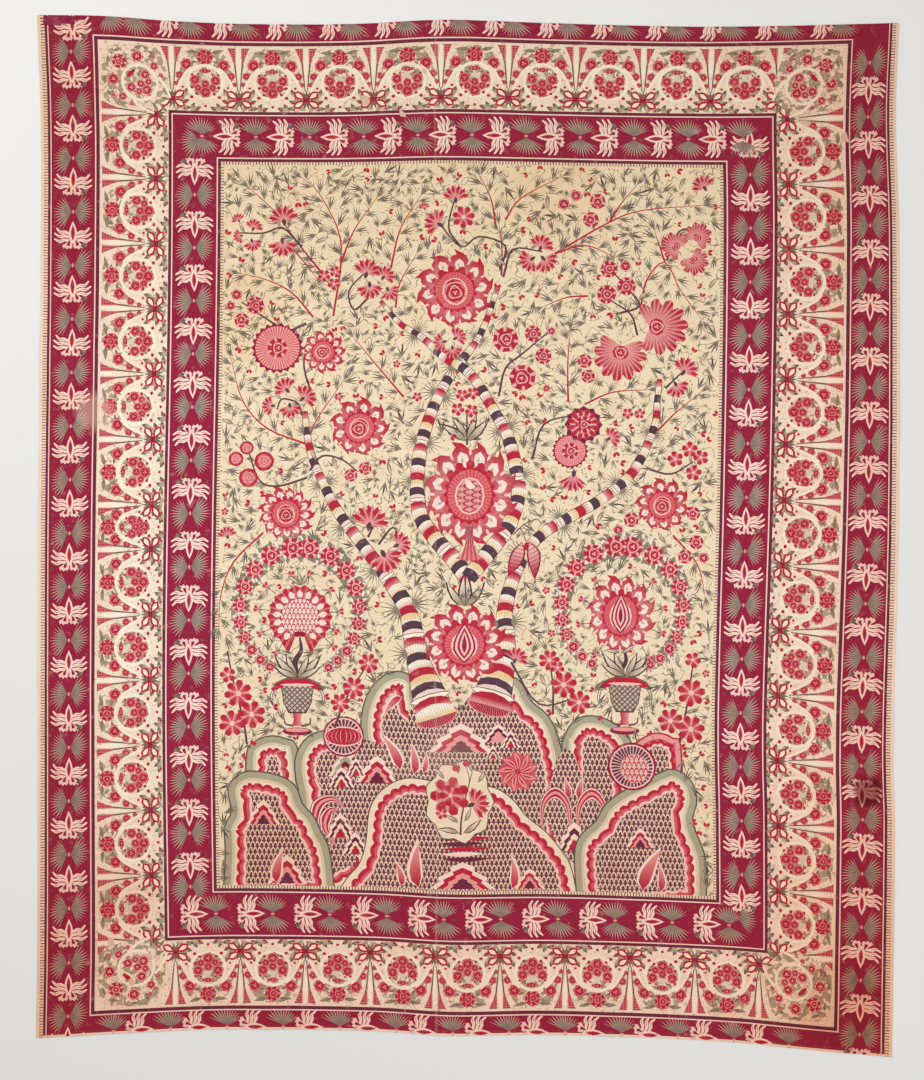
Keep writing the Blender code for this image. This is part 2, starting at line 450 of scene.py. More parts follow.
def column(hand, tall=88):
    """The pair of ribbed cones and the spindle between them, standing on the outer edge."""
    for side in (1, -1):
        half = hand.move(0, flip=side < 0)
        half.reach = hand.reach * side
        paint(half([8 + 7j, 31 + 7j, 19 + 34j, 13 + 54j, 4.5 + 132j, 2 + 132j, 8.5 + 52j]), LEAFAGE_DARK)
        paint(half([8.5 + 8j, 30 + 8j, 18.5 + 33j, 12.5 + 54j, 9.5 + 52j]), RED, line=BLUSH, pen=LATTICE,
              count=5.5, strength=0.55, frame=half.frame(40 + 40j, 18 + 6j))
    paint(hand([-1.5 + 5j, 1.5 + 5j, 6.5 + 40j, 6 + 68j, 1 + tall * 1j, -1 + tall * 1j, -6 + 68j,
                -6.5 + 40j]), RING_WHITE)


SWAG = (0 + 9j, 24 + 10j, 42 + 16j, 56 + 32j, 65 + 54j, 74 + 86j, 84 + 126j, 74 + 118j, 55 + 84j, 36 + 66j,
        0 + 57j)
SWAG_ROSES = ((0, 35, 50), (51, 57, 39), (-51, 58, 39), (71, 88, 26), (-71, 88, 26), (80, 112, 16),
              (-80, 112, 16))
RING_ROSES = ((28, 101, 33), (-28, 102, 33), (0, 136, 36), (20, 124, 25), (-20, 123, 25), (0, 112, 28))
RING_BUDS = ((36, 122, 11), (-36, 122, 11), (24, 141, 10), (-24, 141, 10), (36, 86, 9), (-36, 86, 9),
             (20, 84, 7), (-20, 84, 7))
INNER_SPRIGS = ((30, 166, 62), (44, 158, 20), (62, 140, 76), (-30, 166, 118), (-44, 158, 160),
                (-62, 140, 104), (12, 178, 24), (-12, 178, 156), (40, 180, 4), (-40, 180, 176),
                (66, 170, 40), (-66, 170, 140), (50, 124, 66), (-50, 124, 114), (76, 134, 84),
                (-76, 134, 96))
INNER_DOTS = ((38, 150, 12), (-38, 150, 12), (56, 164, 10), (-56, 164, 10), (24, 186, 9), (-24, 186, 9),
              (0, 176, 10), (58, 184, 8), (-58, 184, 8), (62, 122, 9), (-62, 122, 9), (76, 158, 8),
              (-76, 158, 8))


def both_ways(points):
    """A line from the middle outwards, with its mirror image, as one closed outline."""
    points = np.array(points)
    mirrored = -np.conj(points[::-1])
    return np.concatenate([mirrored[:-1] if points[0].real == 0 else mirrored, points])


def leafage(outline):
    """Fills an outline with small grey leaves."""
    paint(outline, LEAFAGE, edge=LEAFAGE_GREY, line=LEAFAGE_DARK, pen=FOLIAGE, count=80, strength=0.7)


def garland(hand, wide, deep):
    """One swag and its ring, from the outer edge inwards, drawn wider and deeper to fit its side."""
    def put(points):
        points = np.asarray(points, complex)
        return hand(points.real * wide + 1j * points.imag * deep)

    def spot(x, y, turn=0):
        return hand.move(x * wide + 1j * y * deep, turn)

    leafage(put(both_ways(SWAG)))
    for side in (1, -1):
        for x, y, turn, long, wide_leaf in ((17, 22, -8, 38, 12), (22, 48, 10, 26, 9), (60, 78, 70, 22, 8)):
            place = spot(side * x, y, turn if side > 0 else 180 - turn)
            sprig_leaf(place, long, wide_leaf)
    for x, y, across in SWAG_ROSES:
        rose(spot(x, y, 40 * x), across, line=BLUSH, lobes=7 if across > 35 else 5)
    for side in (1, -1):
        strand = through([side * 92 + 152j, side * 74 + 118j, side * 55 + 84j, side * 36 + 66j], 3)
        paint(put(ribbon(strand, 6, 9)), RING_WHITE)
    paint(put(oval(106, 104, 20, 106j)), RING_WHITE)
    leafage(put(oval(89, 88, 18, 107j)))
    paint(put([-3 + 80j, -12 + 98j, 0 + 106j, 12 + 98j, 3 + 80j]), RING_WHITE, line=MOSS, pen=RAYS, count=40,
          strength=0.9, frame=spot(0, 76).frame(30))
    paint(put(oval(34, 13, 8, 74j)), RED, line=BLUSH, pen=PETALS, count=2, strength=0.7,
          frame=spot(0, 74).frame(17))
    for x, y, across in RING_ROSES:
        rose(spot(x, y, 31 * x), across, line=BLUSH, lobes=5)
    for x, y, across in RING_BUDS:
        bud(spot(x, y), across)
    for x, y, turn in INNER_SPRIGS:
        sprig_leaf(spot(x, y, turn), 31, 14, SILVER, INK)
    for x, y, across in INNER_DOTS:
        bud(spot(x, y), across, points=5)


def garland_side(start, end, inward, pitches, deep, tall_at=()):
    """One side of the main border, with a bow and a column where each swag meets the next."""
    places = start + (end - start) * np.concatenate([[0], np.cumsum(pitches)]) / sum(pitches)
    along = math.degrees(math.atan2(inward.imag, inward.real)) - 90
    for near, far in zip(places, places[1:]):
        garland(Hand((near + far) / 2, along, MM), abs(far - near) / MM / PITCH, deep)
    for k, place in enumerate(places):
        column(Hand(place, along, MM), 140 if k in tall_at else 92)
        bow(Hand(place + inward * deep * BOW_AT, along, MM))


left, bottom, right, top = grown(OUTER, -GARLAND_PLUM)
garland_side(left + 1.183j, left - 1.190j, 1, [1] * 6 + [0.68] + [1] * 6, 1.04)
garland_side(right + 1.180j, right - 1.192j, -1, [1] * 5 + [0.86] + [1] * 7, 1.04)
garland_side(-0.8390 + 1j * top, 0.8740 + 1j * top, -1j, [1] * 9, 1.01, (4, 5))
garland_side(-0.8200 + 1j * bottom, 0.8430 + 1j * bottom, 1j, [1] * 9, 1.01, (0, 4))

CORNER_SWAG = (0 + 28j, 27 + 44j, 72 + 83j, 107 + 122j, 107 + 145j, 95 + 168j, 74 + 205j, 50 + 235j,
               34 + 250j)
CORNER_ROSES = ((0, 84, 46), (49, 108, 38), (-49, 108, 38), (65, 160, 28), (-65, 160, 28), (60, 192, 16),
                (-60, 192, 16), (82, 140, 14), (-82, 140, 14))
CORNER_LEAVES = ((10, 52, 30), (-10, 52, 150), (60, 84, 40), (-60, 84, 140), (84, 118, 80), (-84, 118, 100),
                 (70, 130, 20), (-70, 130, 160), (12, 232, 60), (-14, 236, 120), (4, 252, 90))


def corner_garland(hand):
    """The swag that turns a corner of the border, its ring set on the diagonal."""
    leafage(hand(both_ways(CORNER_SWAG)))
    for x, y, turn in CORNER_LEAVES:
        sprig_leaf(hand.move(x + 1j * y, turn), 26, 10)
    for x, y, across in CORNER_ROSES:
        rose(hand.move(x + 1j * y, x), across)
    for side in (1, -1):
        strand = through([side * 33 + 255j, side * 47 + 222j, side * 50 + 190j], 3)
        paint(hand(ribbon(strand, 6, 9)), RING_WHITE)
    paint(hand(oval(106, 112, 20, 166j)), RING_WHITE)
    leafage(hand(oval(90, 96, 18, 166j)))
    paint(hand(oval(34, 13, 8, 130j)), RED)
    for x, y, across in RING_ROSES:
        rose(hand.move(x + 1j * (y + 58), 31 * x), across, lobes=5)


for corner, turn in ((left + 1j * top, -135), (right + 1j * top, 135), (left + 1j * bottom, -45),
                     (right + 1j * bottom, 45)):
    corner_garland(Hand(corner, turn, MM))

# --------------------------------------
# The inner guard border and the row of ticks round the field, ruled and dyed as the outer one.

INNER_PLUM = 0.0085
INNER_WHITE = 0.0035
TICK = 0.0085

paint(box(*INNER), PLUM)
paint(box(*grown(INNER, -INNER_PLUM)), RESIST)
paint(box(*grown(INNER, -INNER_PLUM - INNER_WHITE)), CRIMSON)
guard_row((-0.7757 + 0.9535j, -0.7757 - 1.0383j, 14), (-0.7757 + 1.0224j, -0.7757 - 0.9777j, 14), 0, -90)
guard_row((0.7939 + 1.0238j, 0.7939 - 0.9697j, 14), (0.7939 + 1.1086j, 0.7939 - 1.0383j, 15), 0, 90)
guard_row((-0.7549 + 1.1241j, 0.7751 + 1.1241j, 11), (-0.6834 + 1.1241j, 0.6920 + 1.1241j, 10), 90, 180)
guard_row((-0.7041 - 1.1175j, 0.7564 - 1.1175j, 10), (-0.7677 - 1.1175j, 0.6911 - 1.1175j, 10), 90, 0)
palm_fan(Hand(-0.7650 + 1.1120j, 190, MM), 1)
palm_fan(Hand(0.7850 - 1.1000j, 10, MM), 1)
paint(box(*grown(FIELD, INNER_PLUM + INNER_WHITE)), RESIST)
paint(box(*grown(FIELD, INNER_PLUM)), PLUM)
paint(box(*FIELD), STRAW, line=INK, pen=TENDRILS, count=28.0, strength=0.62)
left, bottom, right, top = FIELD
for strip in ((left, bottom, left + TICK, top), (right - TICK, bottom, right, top),
              (left, top - TICK, right, top), (left, bottom, right, bottom + TICK)):
    ticked(*strip, TICK_PITCH, STRAW, PLUM)

# --------------------------------------
# The field: a flowering tree drawn freehand on undyed cotton. Everything in it is placed in
# centimetres from the middle of the field. First, the small things that every branch carries.

CM = 0.01
TIP = dye(74, 60, 66)
SPRAY = dye(150, 140, 120)
SPRAY_INK = dye(66, 48, 58)
STEM = dye(98, 66, 72)
FLOWER_RED = dye(190, 38, 62)
FLOWER_PINK = dye(226, 112, 118)
FIELD_SEED = 23
field_hand = np.random.default_rng(FIELD_SEED)
filled = []


def at(x, y, turn=0.0, size=1.0):
    """The dyer's hand at a place in the field, drawing in millimetres."""
    return Hand(complex(x, y) * CM, turn, MM * size)


def take(hand, radius):
    """Notes that a round of the field is filled, so that the small sprays keep off it."""
    filled.append((complex(hand(0)), radius * MM))


def spray(hand, long, fingers=5, spread=22.0):
    """A leaf like an open hand: parted grey fingers with dark tips."""
    turns = np.radians(np.linspace(-spread, spread, 2 * fingers - 1))
    reach = np.where(np.arange(2 * fingers - 1) % 2 == 0, 1.0, 0.40) * long * (1 - 0.3 * np.abs(turns))
    outline = np.concatenate([[0j], reach * np.exp(1j * turns)])
    paint(hand(outline), SPRAY, edge=SPRAY_INK, frame=hand.frame(long * 0.58, 0.1 * long))


def freehand(points, steps=4):
    """A smooth line through places in centimetres."""
    return through([complex(*point) for point in points], steps) * CM


def stem(points, start=3.0, end=1.2, colour=STEM):
    """A drawn stem through places in centimetres, its width running out in millimetres."""
    path = freehand(points)
    paint(ribbon(path, start * MM, end * MM), colour)
    return path


def run_of(path):
    """How far along a path each of its points lies."""
    return np.concatenate([[0], np.cumsum(np.abs(np.diff(path)))])


def reached(path, run, far):
    """The places this far along a path."""
    return np.interp(far, run, path.real) + 1j * np.interp(far, run, path.imag)


def along_path(path, every):
    """Places every so many centimetres along a path, each with the way the path points there."""
    run = run_of(path)
    for far in np.arange(every * CM * 0.6, run[-1], every * CM):
        ahead, behind = reached(path, run, far + 0.01), reached(path, run, far - 0.01)
        yield reached(path, run, far), math.degrees(np.angle(ahead - behind))


def frond(points, start=6, colour=FLOWER_RED, every=2.7, long=44):
    """A long red shoot with sprays set down both its sides."""
    path = stem(points, start, 1.6, colour)
    side = 1
    for here, heading in along_path(path, every):
        hand = Hand(here, heading + side * field_hand.uniform(34, 52), MM)
        spray(hand.move(3), long * field_hand.uniform(0.9, 1.2), int(field_hand.integers(4, 6)))
        filled.append((here, 0.02))
        filled.append((complex(hand(long * 0.6)), long * 0.4 * MM))
        side = -side
    tip = Hand(path[-1], heading, MM)
    spray(tip, long, 5)


def plume(hand, long, colour=SAGE, vein=INK, bend=0.2, points=3):
    """A long curved leaf, dark along its back."""
    paint(hand(leaf(long, long * 0.30, 0.4, long * bend, points)), vein)
    paint(hand(leaf(long * 0.90, long * 0.20, 0.4, long * bend * 0.95, points) + 1), colour, edge=LEAFAGE,
          frame=hand.frame(long))


def star(petals, inner):
    """A ring of points, in and out by turns, of reach 1."""
    turns = np.arange(2 * petals) * math.pi / petals
    return np.where(np.arange(2 * petals) % 2 == 0, 1, inner) * np.exp(1j * turns)


def blossom(hand, across, petals=5, rim=FLOWER_RED, heart=PINK_WHITE):
    """A small open flower of round petals, dark at their rims, with a pale eye."""
    turns = np.arange(3 * petals) * 2 * math.pi / (3 * petals)
    reach = np.where(np.arange(3 * petals) % 3 == 0, 0.74, 1) * across / 2
    paint(hand(reach * np.exp(1j * turns)), FLOWER_PINK, edge=rim, line=heart, pen=RAYS, count=petals,
          strength=0.55, frame=hand.frame(across / 2.6))
    paint(hand(oval(across * 0.22, across * 0.22, 5)), heart)
    take(hand, across * 0.5)


def berries(hand, across=11):
    """A pair of small buds, red at the tip."""
    for turn in (22, -22):
        bud_turn = towards(turn)
        paint(hand((leaf(across * 1.7, across * 0.95, 0.55, points=2) + 3) * bud_turn), BLUSH,
              edge=FLOWER_RED, frame=hand.frame(bud_turn * across))
    paint(hand(leaf(9, 3, 0.5, points=1) - 8), STEM)
    take(hand, 12)


def carnation(hand, across, petals=6, spread=88):
    """A fan of toothed petals opening from its root along +X."""
    across *= 1.20
    teeth = petals * 2 + 1
    turns = np.radians(np.linspace(-spread, spread, 2 * teeth - 1))
    reach = np.where(np.arange(2 * teeth - 1) % 2 == 0, 1, 0.86)
    reach[3::4] = 0.72
    outline = np.concatenate([[-0.12 + 0j], reach * np.exp(1j * turns)]) * across * 0.55
    root = across * -0.15
    paint(hand(outline + root), BLUSH, edge=FLOWER_RED, line=PINK_WHITE, pen=RAYS,
          count=petals * 180 / spread, strength=0.5, frame=hand.frame(across * 0.34, root))
    paint(hand(leaf(across * 0.3, across * 0.16, 0.5, points=2) + root - across * 0.22), STEM)
    take(hand, across * 0.5)


def ringed_fruit(hand, across):
    """A round fruit ruled with rings."""
    paint(hand(oval(across, across, 12)), FLOWER_RED)
    paint(hand(oval(across * 0.74, across * 0.74, 10)), BLUSH, line=FLOWER_RED, pen=PETALS, count=2.5,
          strength=0.9, frame=hand.frame(across * 0.36))
    take(hand, across * 0.5)


def curled(petals, depth):
    """Petals that end in a hook, as one outline of reach 1; `depth` is where they part."""
    points = []
    for k in range(petals):
        for reach, share in ((depth, 0), (0.82, 0.10), (0.96, 0.32), (1, 0.66), (0.86, 0.60), (0.78, 0.86)):
            points.append(reach * np.exp(2j * math.pi * (k + share) / petals))
    return np.array(points)


SEEDED, ROSY, LENSED = "seeded", "rosy", "lensed"
HOOKED = ((0.44, -0.80), (0.62, -1.04), (0.82, -0.98), (0.95, -0.35), (1.03, 0.70), (0.91, 0.40),
          (0.84, 0.92), (0.64, 1.04), (0.44, 0.80))


def great_flower(hand, across, petals=9, heart=ROSY, tall=1):
    """One of the large fanciful flowers: hooked petals with white drops, round a toothed heart."""
    half = across / 2

    def put(points):
        points = np.asarray(points, complex)
        return hand((points.real + 1j * points.imag * tall) * half)

    paint(put(oval(1.74, 1.74, 24)), BLUSH, edge=FLOWER_RED, pen=RAYS, frame=hand.frame(0.90 * half))
    wide = math.pi * 0.70 / petals
    hook = np.array([radial + 1j * aside * wide * (0.5 + 0.62 * radial) for radial, aside in HOOKED])
    for k in range(petals):
        turn = np.exp(2j * math.pi * (k + 0.5) / petals)
        size = 1.0 + 0.05 * math.cos(7.0 * k)
        paint(put(hook * turn * size), PINK_WHITE, edge=FLOWER_RED, line=FLOWER_RED, pen=RAYS,
              count=petals * 5, strength=0.35, frame=hand.frame(1.02 * half))
        paint(put((leaf(0.36, 0.25, 0.62, 0.03, points=3) + 0.49 - 0.03j) * turn), RESIST)
        paint(put((leaf(0.13, 0.06, 0.5, points=1) + 0.61) * turn), SILVER)
        between = np.exp(2j * math.pi * (k + 1) / petals)
        paint(put(leaf(0.16, 0.07, 0.5, points=2) * between + 0.74 * between), PINK_WHITE)
    for k in range(petals + 3):
        turn = np.exp(2j * math.pi * k / (petals + 3))
        paint(put(oval(0.20, 0.20, 6, 0.57) * turn), ROSE, edge=FLOWER_RED, frame=hand.frame(0.6 * half))
    paint(put(star(20, 0.88) * 0.58), FLOWER_RED)
    paint(put(oval(0.98, 0.98, 16)), FLOWER_PINK, line=FLOWER_RED, pen=RAYS, count=36, strength=0.7,
          frame=hand.frame(0.5 * half))
    paint(put(oval(0.72, 0.66, 12, -0.02)), PINK_WHITE)
    if heart == SEEDED:
        paint(put(oval(0.66, 0.58, 12, -0.02)), FLOWER_RED, line=PINK_WHITE, pen=SCALES, count=9,
              strength=0.6, frame=hand.frame(half))
        paint(put(leaf(0.24, 0.16, 0.6, -0.1) * 1j + 0.16 - 0.12j), RESIST)
    elif heart == ROSY:
        paint(put(oval(0.66, 0.60, 12, -0.02)), FLOWER_RED, line=PINK_WHITE, pen=PETALS, count=2.4,
              strength=0.8, frame=hand.frame(0.30 * half, -0.05 * half))
    elif heart == LENSED:
        for long, broad, colour in ((1.00, 0.56, CRIMSON), (0.90, 0.46, PINK_WHITE),
                                    (0.78, 0.34, FLOWER_RED), (0.62, 0.22, PINK_WHITE),
                                    (0.46, 0.12, CRIMSON)):
            paint(put(leaf(long, broad, 0.38, points=5) - long * 0.46), colour)
    take(hand, half * max(1, tall))


def rayed_disc(hand, across, heart=0.42):
    """A round flower of many fine rays with a toothed rim."""
    half = across / 2
    paint(hand(star(22, 0.88) * half), CRIMSON)
    paint(hand(oval(across * 0.84, across * 0.84, 22)), FLOWER_PINK, line=PINK_WHITE, pen=RAYS, count=44,
          strength=0.8, frame=hand.frame(half))
    rose(hand, across * heart, heart=FLOWER_RED, lobes=7, petals=2.2)
    take(hand, half)


def mum(hand, across, petals=9):
    """A heavy fan of pink petals tipped with crimson, over a small heart."""
    half = across * 0.55
    points = [-0.35 + 0j]
    for k in range(petals):
        for reach, share in ((0.74, 0.02), (0.97, 0.28), (1, 0.55), (0.90, 0.86)):
            points.append(reach * towards(-142 + 284 * (k + share) / petals))
    paint(hand(np.array(points) * half), BLUSH, edge=FLOWER_RED, line=PINK_WHITE, pen=RAYS,
          count=petals * 3 * 360 / 284, strength=0.5, frame=hand.frame(half * 1.05, -0.2 * half))
    paint(hand(oval(across * 0.30, across * 0.34, 8, -0.1 * half)), FLOWER_RED, line=PINK_WHITE, pen=PETALS,
          count=2, strength=0.8, frame=hand.frame(across * 0.17, -0.1 * half))
    take(hand, half)


# --------------------------------------
# The tree. Its trunks and branches are banded like tulip stalks: crimson running to rose, straw,
# a plum block and a white collar, over and over, with a pair of palm leaves at many of the joints.

BAND_STRAW = dye(244, 214, 158)
BAND_PLUM = dye(92, 60, 78)
BANDS = ((FLOWER_RED, BLUSH), (RING_WHITE, BAND_STRAW), (BAND_PLUM, TIP), (RING_WHITE, BLUSH),
         (FLOWER_RED, FLOWER_RED), (BAND_STRAW, RING_WHITE), (BAND_PLUM, TIP), (RESIST, RESIST))


def trunk(points, widths, band, fans=()):
    """A banded branch. Points are in centimetres, with a width in millimetres at each."""
    path = freehand(points, 8)
    across = np.interp(np.linspace(0, 1, len(path)), np.linspace(0, 1, len(widths)), widths) * MM
    run = run_of(path)

    def across_at(place):
        return np.interp(place, run, across)

    paint(ribbon_of(path[::3], across[::3] + 3 * MM), INK)
    if widths[-1] > 80:
        ahead = (path[-1] - path[-2]) / abs(path[-1] - path[-2])
        toothed = np.where(np.arange(40) % 2, 1, 0.93)
        for size, colour in ((1.10, RESIST), (1, CRIMSON)):
            fringe = oval(across[-1] * size, across[-1] * 0.44 * size, 40) * toothed
            paint(path[-1] + ahead * 1j * fringe, colour, edge=FLOWER_RED, line=BLUSH, pen=RAYS, count=70,
                  strength=0.55, frame=(complex(path[-1] - 0.05 * ahead), 0.14j))
    places = np.linspace(0, run[-1], round(run[-1] / (band * MM)) + 1)
    for k, place in enumerate(places[:-1]):
        stations = np.linspace(place, places[k + 1], 3)
        piece = reached(path, run, stations)
        near, far = BANDS[k % len(BANDS)]
        heading = (piece[2] - piece[0]) / abs(piece[2] - piece[0])
        foot = piece[0] + heading * np.array([-0.10 - 0.30j, -0.15, -0.10 + 0.30j]) * across_at(place)
        paint(np.concatenate([ribbon_of(piece, across_at(stations)), foot]), near, edge=far, line=STEM,
              pen=VEINS, count=3, strength=0.25, frame=(complex(piece[0]), complex(piece[-1] - piece[0])))
        if k % len(BANDS) == 7:
            wide = across_at(stations[1])
            paint(piece[1] + heading * 1j * oval(wide * 1.25, wide * 0.22 + 4 * MM, 8), INK)
            paint(piece[1] + heading * 1j * oval(wide * 1.2, wide * 0.2 + 1 * MM, 8), RING_WHITE)
    for here, _ in along_path(path, 2):
        filled.append((here, float(across[np.argmin(np.abs(path - here))]) * 0.58))
    for share, long, turn in fans:
        place = share * run[-1]
        here = reached(path, run, place)
        heading = math.degrees(np.angle(reached(path, run, place + 0.01) - here))
        for side in (1, -1):
            palm_leaf(Hand(here, heading + side * turn, MM).move(across_at(place) / MM * 0.4), long)


def palm_leaf(hand, long, blades=9):
    """A fan of narrow parted blades, dark at the tips."""
    turns = np.radians(np.linspace(-72, 72, 2 * blades - 1))
    reach = np.where(np.arange(2 * blades - 1) % 2 == 0, 1, 0.26) * long * (1 - 0.12 * np.abs(turns))
    outline = np.concatenate([[0j], reach * np.exp(1j * turns)])
    paint(hand(outline), SPRAY, edge=SPRAY_INK, frame=hand.frame(long * 0.8))
    filled.append((complex(hand(long * 0.5)), long * 0.5 * MM))


for points in (
    ((-43.6, 60.3), (-49.6, 67.2), (-56.7, 70.9), (-64.5, 72.8)),
    ((-37.9, 60.6), (-35.9, 76), (-36.8, 85.5), (-42.5, 96.5), (-47, 100.5)),
    ((-35.9, 76), (-32.2, 85.5), (-26, 94.5)),
    ((-41.6, 73.5), (-47.6, 81), (-55, 91), (-62, 97.5)),
    ((-44.4, 23.5), (-56, 28), (-63.2, 36), (-66.8, 48.5)),
    ((-44.4, 23.5), (-42.5, 30), (-34.8, 42)),
    ((7.8, 86.5), (6.5, 94), (3.3, 100.8)),
    ((10.5, 88.4), (14.9, 94.7), (26.5, 101.2)),
    ((24.5, 79), (39.3, 88), (49, 91.8), (66, 93.5)),
    ((39.9, 88.4), (43, 93.5), (47.5, 99)),
    ((48.5, 62), (50.4, 71.8), (55.5, 77), (60, 69), (66.2, 60.5)),
    ((55.5, 77), (52.5, 86)),
    ((28.8, 36.5), (28.5, 47), (29, 57)),
    ((33.4, 36), (41, 39.5), (51, 40.5)),
    ((54, 28.7), (59, 34), (66, 40)),
    ((-20.3, 63), (-19.2, 70), (-14.5, 78.5)),
    ((-21.7, 74.5), (-19.2, 85.5), (-13.5, 95)),
    ((-17.7, 37.5), (-25, 46), (-32, 54.5)),
    ((9.5, 72.5), (9.6, 80), (8.7, 87)),
    ((-56.7, -2), (-65, -10.5), (-68.5, -20), (-69, -29.5)),
    ((59, -1), (66, -9), (68.5, -18)),
    ((-52, 83), (-47, 77), (-43, 72)),
    ((24.5, 79), (33, 81.5), (42, 78)),
    ((34, 67), (28, 66.5), (21.5, 63.8)),
):
    frond(points)

# --------------------------------------
# The rocks the tree stands on: mounds with a hatched grey-green rim and a scalloped crimson
# fringe, filled with plum fish scales. They run off the foot of the field.

FIELD_FOOT = -1.0365
MOUND_EDGE = dye(92, 84, 78)
MOUND_GREEN = dye(176, 170, 142)
MOUND_PALE = dye(222, 208, 178)
MOUND_CREAM = dye(246, 226, 198)
SCALE_GROUND = dye(246, 216, 192)
SCALE_INK = dye(102, 42, 60)
GREEN_RIM = ((-3, MOUND_EDGE, 0), (1, MOUND_GREEN, 0), (19, MOUND_PALE, 0), (27, MOUND_CREAM, 0),
             (33, RESIST, 0), (36, FLOWER_RED, 4), (46, ROSE, 4), (54, PINK_WHITE, 3))
RED_RIM = ((-3, MOUND_EDGE, 0), (0, MOUND_CREAM, 0), (14, RESIST, 0), (18, FLOWER_RED, 4), (30, ROSE, 4),
           (38, PINK_WHITE, 3))
PINK_RIM = ((-2, FLOWER_RED, 0), (3, BLUSH, 0), (16, ROSE, 0), (22, FLOWER_RED, 4), (32, PINK_WHITE, 3))


def evened(outline, pitch):
    """The outline with its points set at an even pitch, in metres."""
    closed = np.append(outline, outline[0])
    run = run_of(closed)
    return reached(closed, run, np.linspace(0, run[-1], 4 * max(3, round(run[-1] / pitch / 4)) + 1)[:-1])


def inset_line(outline, by, scallop=0):
    """The outline moved inwards, lobed if asked, and cut off at the foot of the field."""
    side = np.roll(outline, -1) - np.roll(outline, 1)
    waves = scallop * MM * np.array([1, -0.5, -0.9, -0.5])[np.arange(len(outline)) % 4]
    moved = outline + 1j * side / np.abs(side) * (by * MM + waves)
    return moved.real + 1j * np.maximum(moved.imag, FIELD_FOOT)


hills = []


def fish_scales(outline, strength=0.95):
    """Fills an outline with plum fish scales."""
    paint(outline, SCALE_GROUND, line=SCALE_INK, pen=SCALES, count=78, strength=strength, frame=(0j, 1 + 0j))


def mound(points, rim=GREEN_RIM):
    """One mound, its outline given either way round from foot to foot, in centimetres."""
    outline = freehand(points)[:-1]
    if np.sum(outline.real * np.roll(outline, -1).imag - np.roll(outline, -1).real * outline.imag) < 0:
        outline = outline[::-1]
    smooth, lobed = evened(outline, 0.020), evened(outline, 0.0085)
    hills.append(smooth)
    for by, colour, scallop in rim:
        paint(inset_line(lobed if scallop else smooth, by, scallop), colour)
    fish_scales(inset_line(lobed, rim[-1][0] + 7, 2))


def horn(x, y, turn, long, bend=0.35):
    """A curved horn or flame of stone, white along its edge."""
    hand = at(x, y, turn)
    long *= 1.2
    paint(hand(leaf(long, long * 0.38, 0.3, long * bend)), RESIST)
    paint(hand(leaf(long * 0.92, long * 0.26, 0.3, long * bend) + 1), FLOWER_RED, edge=BLUSH,
          frame=hand.frame(long))


def peak(x, y, wide, tall, colours=(RESIST, FLOWER_RED, BLUSH, PLUM)):
    """A small stepped peak drawn in nested zigzags."""
    wide, tall = wide * 1.25, tall * 1.25
    for k, colour in enumerate(colours):
        half, top = wide / 2 * (1 - 0.2 * k), tall * (1 - 0.2 * k)
        steps = [-half + 0j, -half * 0.7 + 0.28j * top, -half * 0.75 + 0.42j * top,
                 -half * 0.35 + 0.66j * top, -half * 0.38 + 0.8j * top, 1j * top]
        hand = at(x, y)
        paint(hand(np.concatenate([steps, -np.conj(steps[-2::-1])])), colour)


FOOT = -112.0
mound(((46.5, FOOT), (46.8, -66), (49.4, -60.8), (55, -57.6), (60.3, -59), (62.6, -64), (63, FOOT)),
      PINK_RIM)
mound(((28.5, FOOT), (28.6, -64), (29.7, -58.4), (32.5, -54.4), (37.2, -53.2), (42.7, -54.8), (46.7, -58.4),
       (48.6, -66), (48.8, FOOT)))
mound(((-61, -90), (-61.2, -67), (-58.7, -62.3), (-54, -60.6), (-49, -61.8), (-46.5, -65), (-44, -90)))
mound(((-27.8, FOOT), (-28, -68), (-28.5, -57.4), (-27.5, -50.7), (-25, -45.5), (-21.2, -42.2),
       (-16.7, -41.4), (-13.2, -44), (-12.5, -50), (-6, -53.8), (2, -52.5), (9, -51), (12, -45.5), (14, -42),
       (17.4, -44.6), (19.8, -49.3), (24.3, -53.1), (27.1, -58.4), (28.7, -65), (29.8, -73.7), (30, FOOT)))
mound(((-46, FOOT), (-46, -80), (-47, -73.5), (-47.2, -67), (-44.4, -61.5), (-39.6, -59), (-34, -59.5),
       (-28.5, -64), (-26.5, -72), (-26, FOOT)))
fish_scales(at(-20, -74)(oval(200, 250, 14)), 0.9)
horn(-16.8, -48.5, 200, 62, 0.5)
for scaly in ((27 - 66j, 29.5 - 62.5j, 32 - 64j, 34 - 70j, 37 - 78j, 36 - 88j, 33 - 97j, 30 - 94j, 26 - 88j,
               23 - 80j), (-30.5 - 66j, -27.5 - 61j, -24.5 - 62j, -20 - 70j, -24 - 76j, -27 - 88j, -31 - 98j,
                           -36 - 96j, -36 - 80j, -34 - 70j)):
    fish_scales(np.array(scaly) * CM)
between_feet = np.array([-15 - 52j, -6 - 50j, 0 - 51j, 2 - 48j, 5 - 50.5j, 12 - 50j, 16 - 53j, 16 - 62j,
                         -15 - 62j]) * CM
hills.append(between_feet)
fish_scales(between_feet)
for x, y, turn, long in ((-17.5, -69.5, 96, 88), (-13.5, -70.5, 75, 72), (-11, -70, 60, 48)):
    horn(x, y, turn, long)
peak(-0.1, -63.8, 150, 66)
peak(10.5, -61, 70, 42, (RESIST, PLUM, BLUSH))
peak(-24, -73.5, 96, 62)
peak(-33, -72, 80, 60, (RESIST, MOUND_GREEN, PLUM, BLUSH))
for x, y, turn, long, bend in ((30.5, -77, 96, 52, 0.1), (33, -77, 84, 52, -0.1)):
    horn(x, y, turn, long, bend)
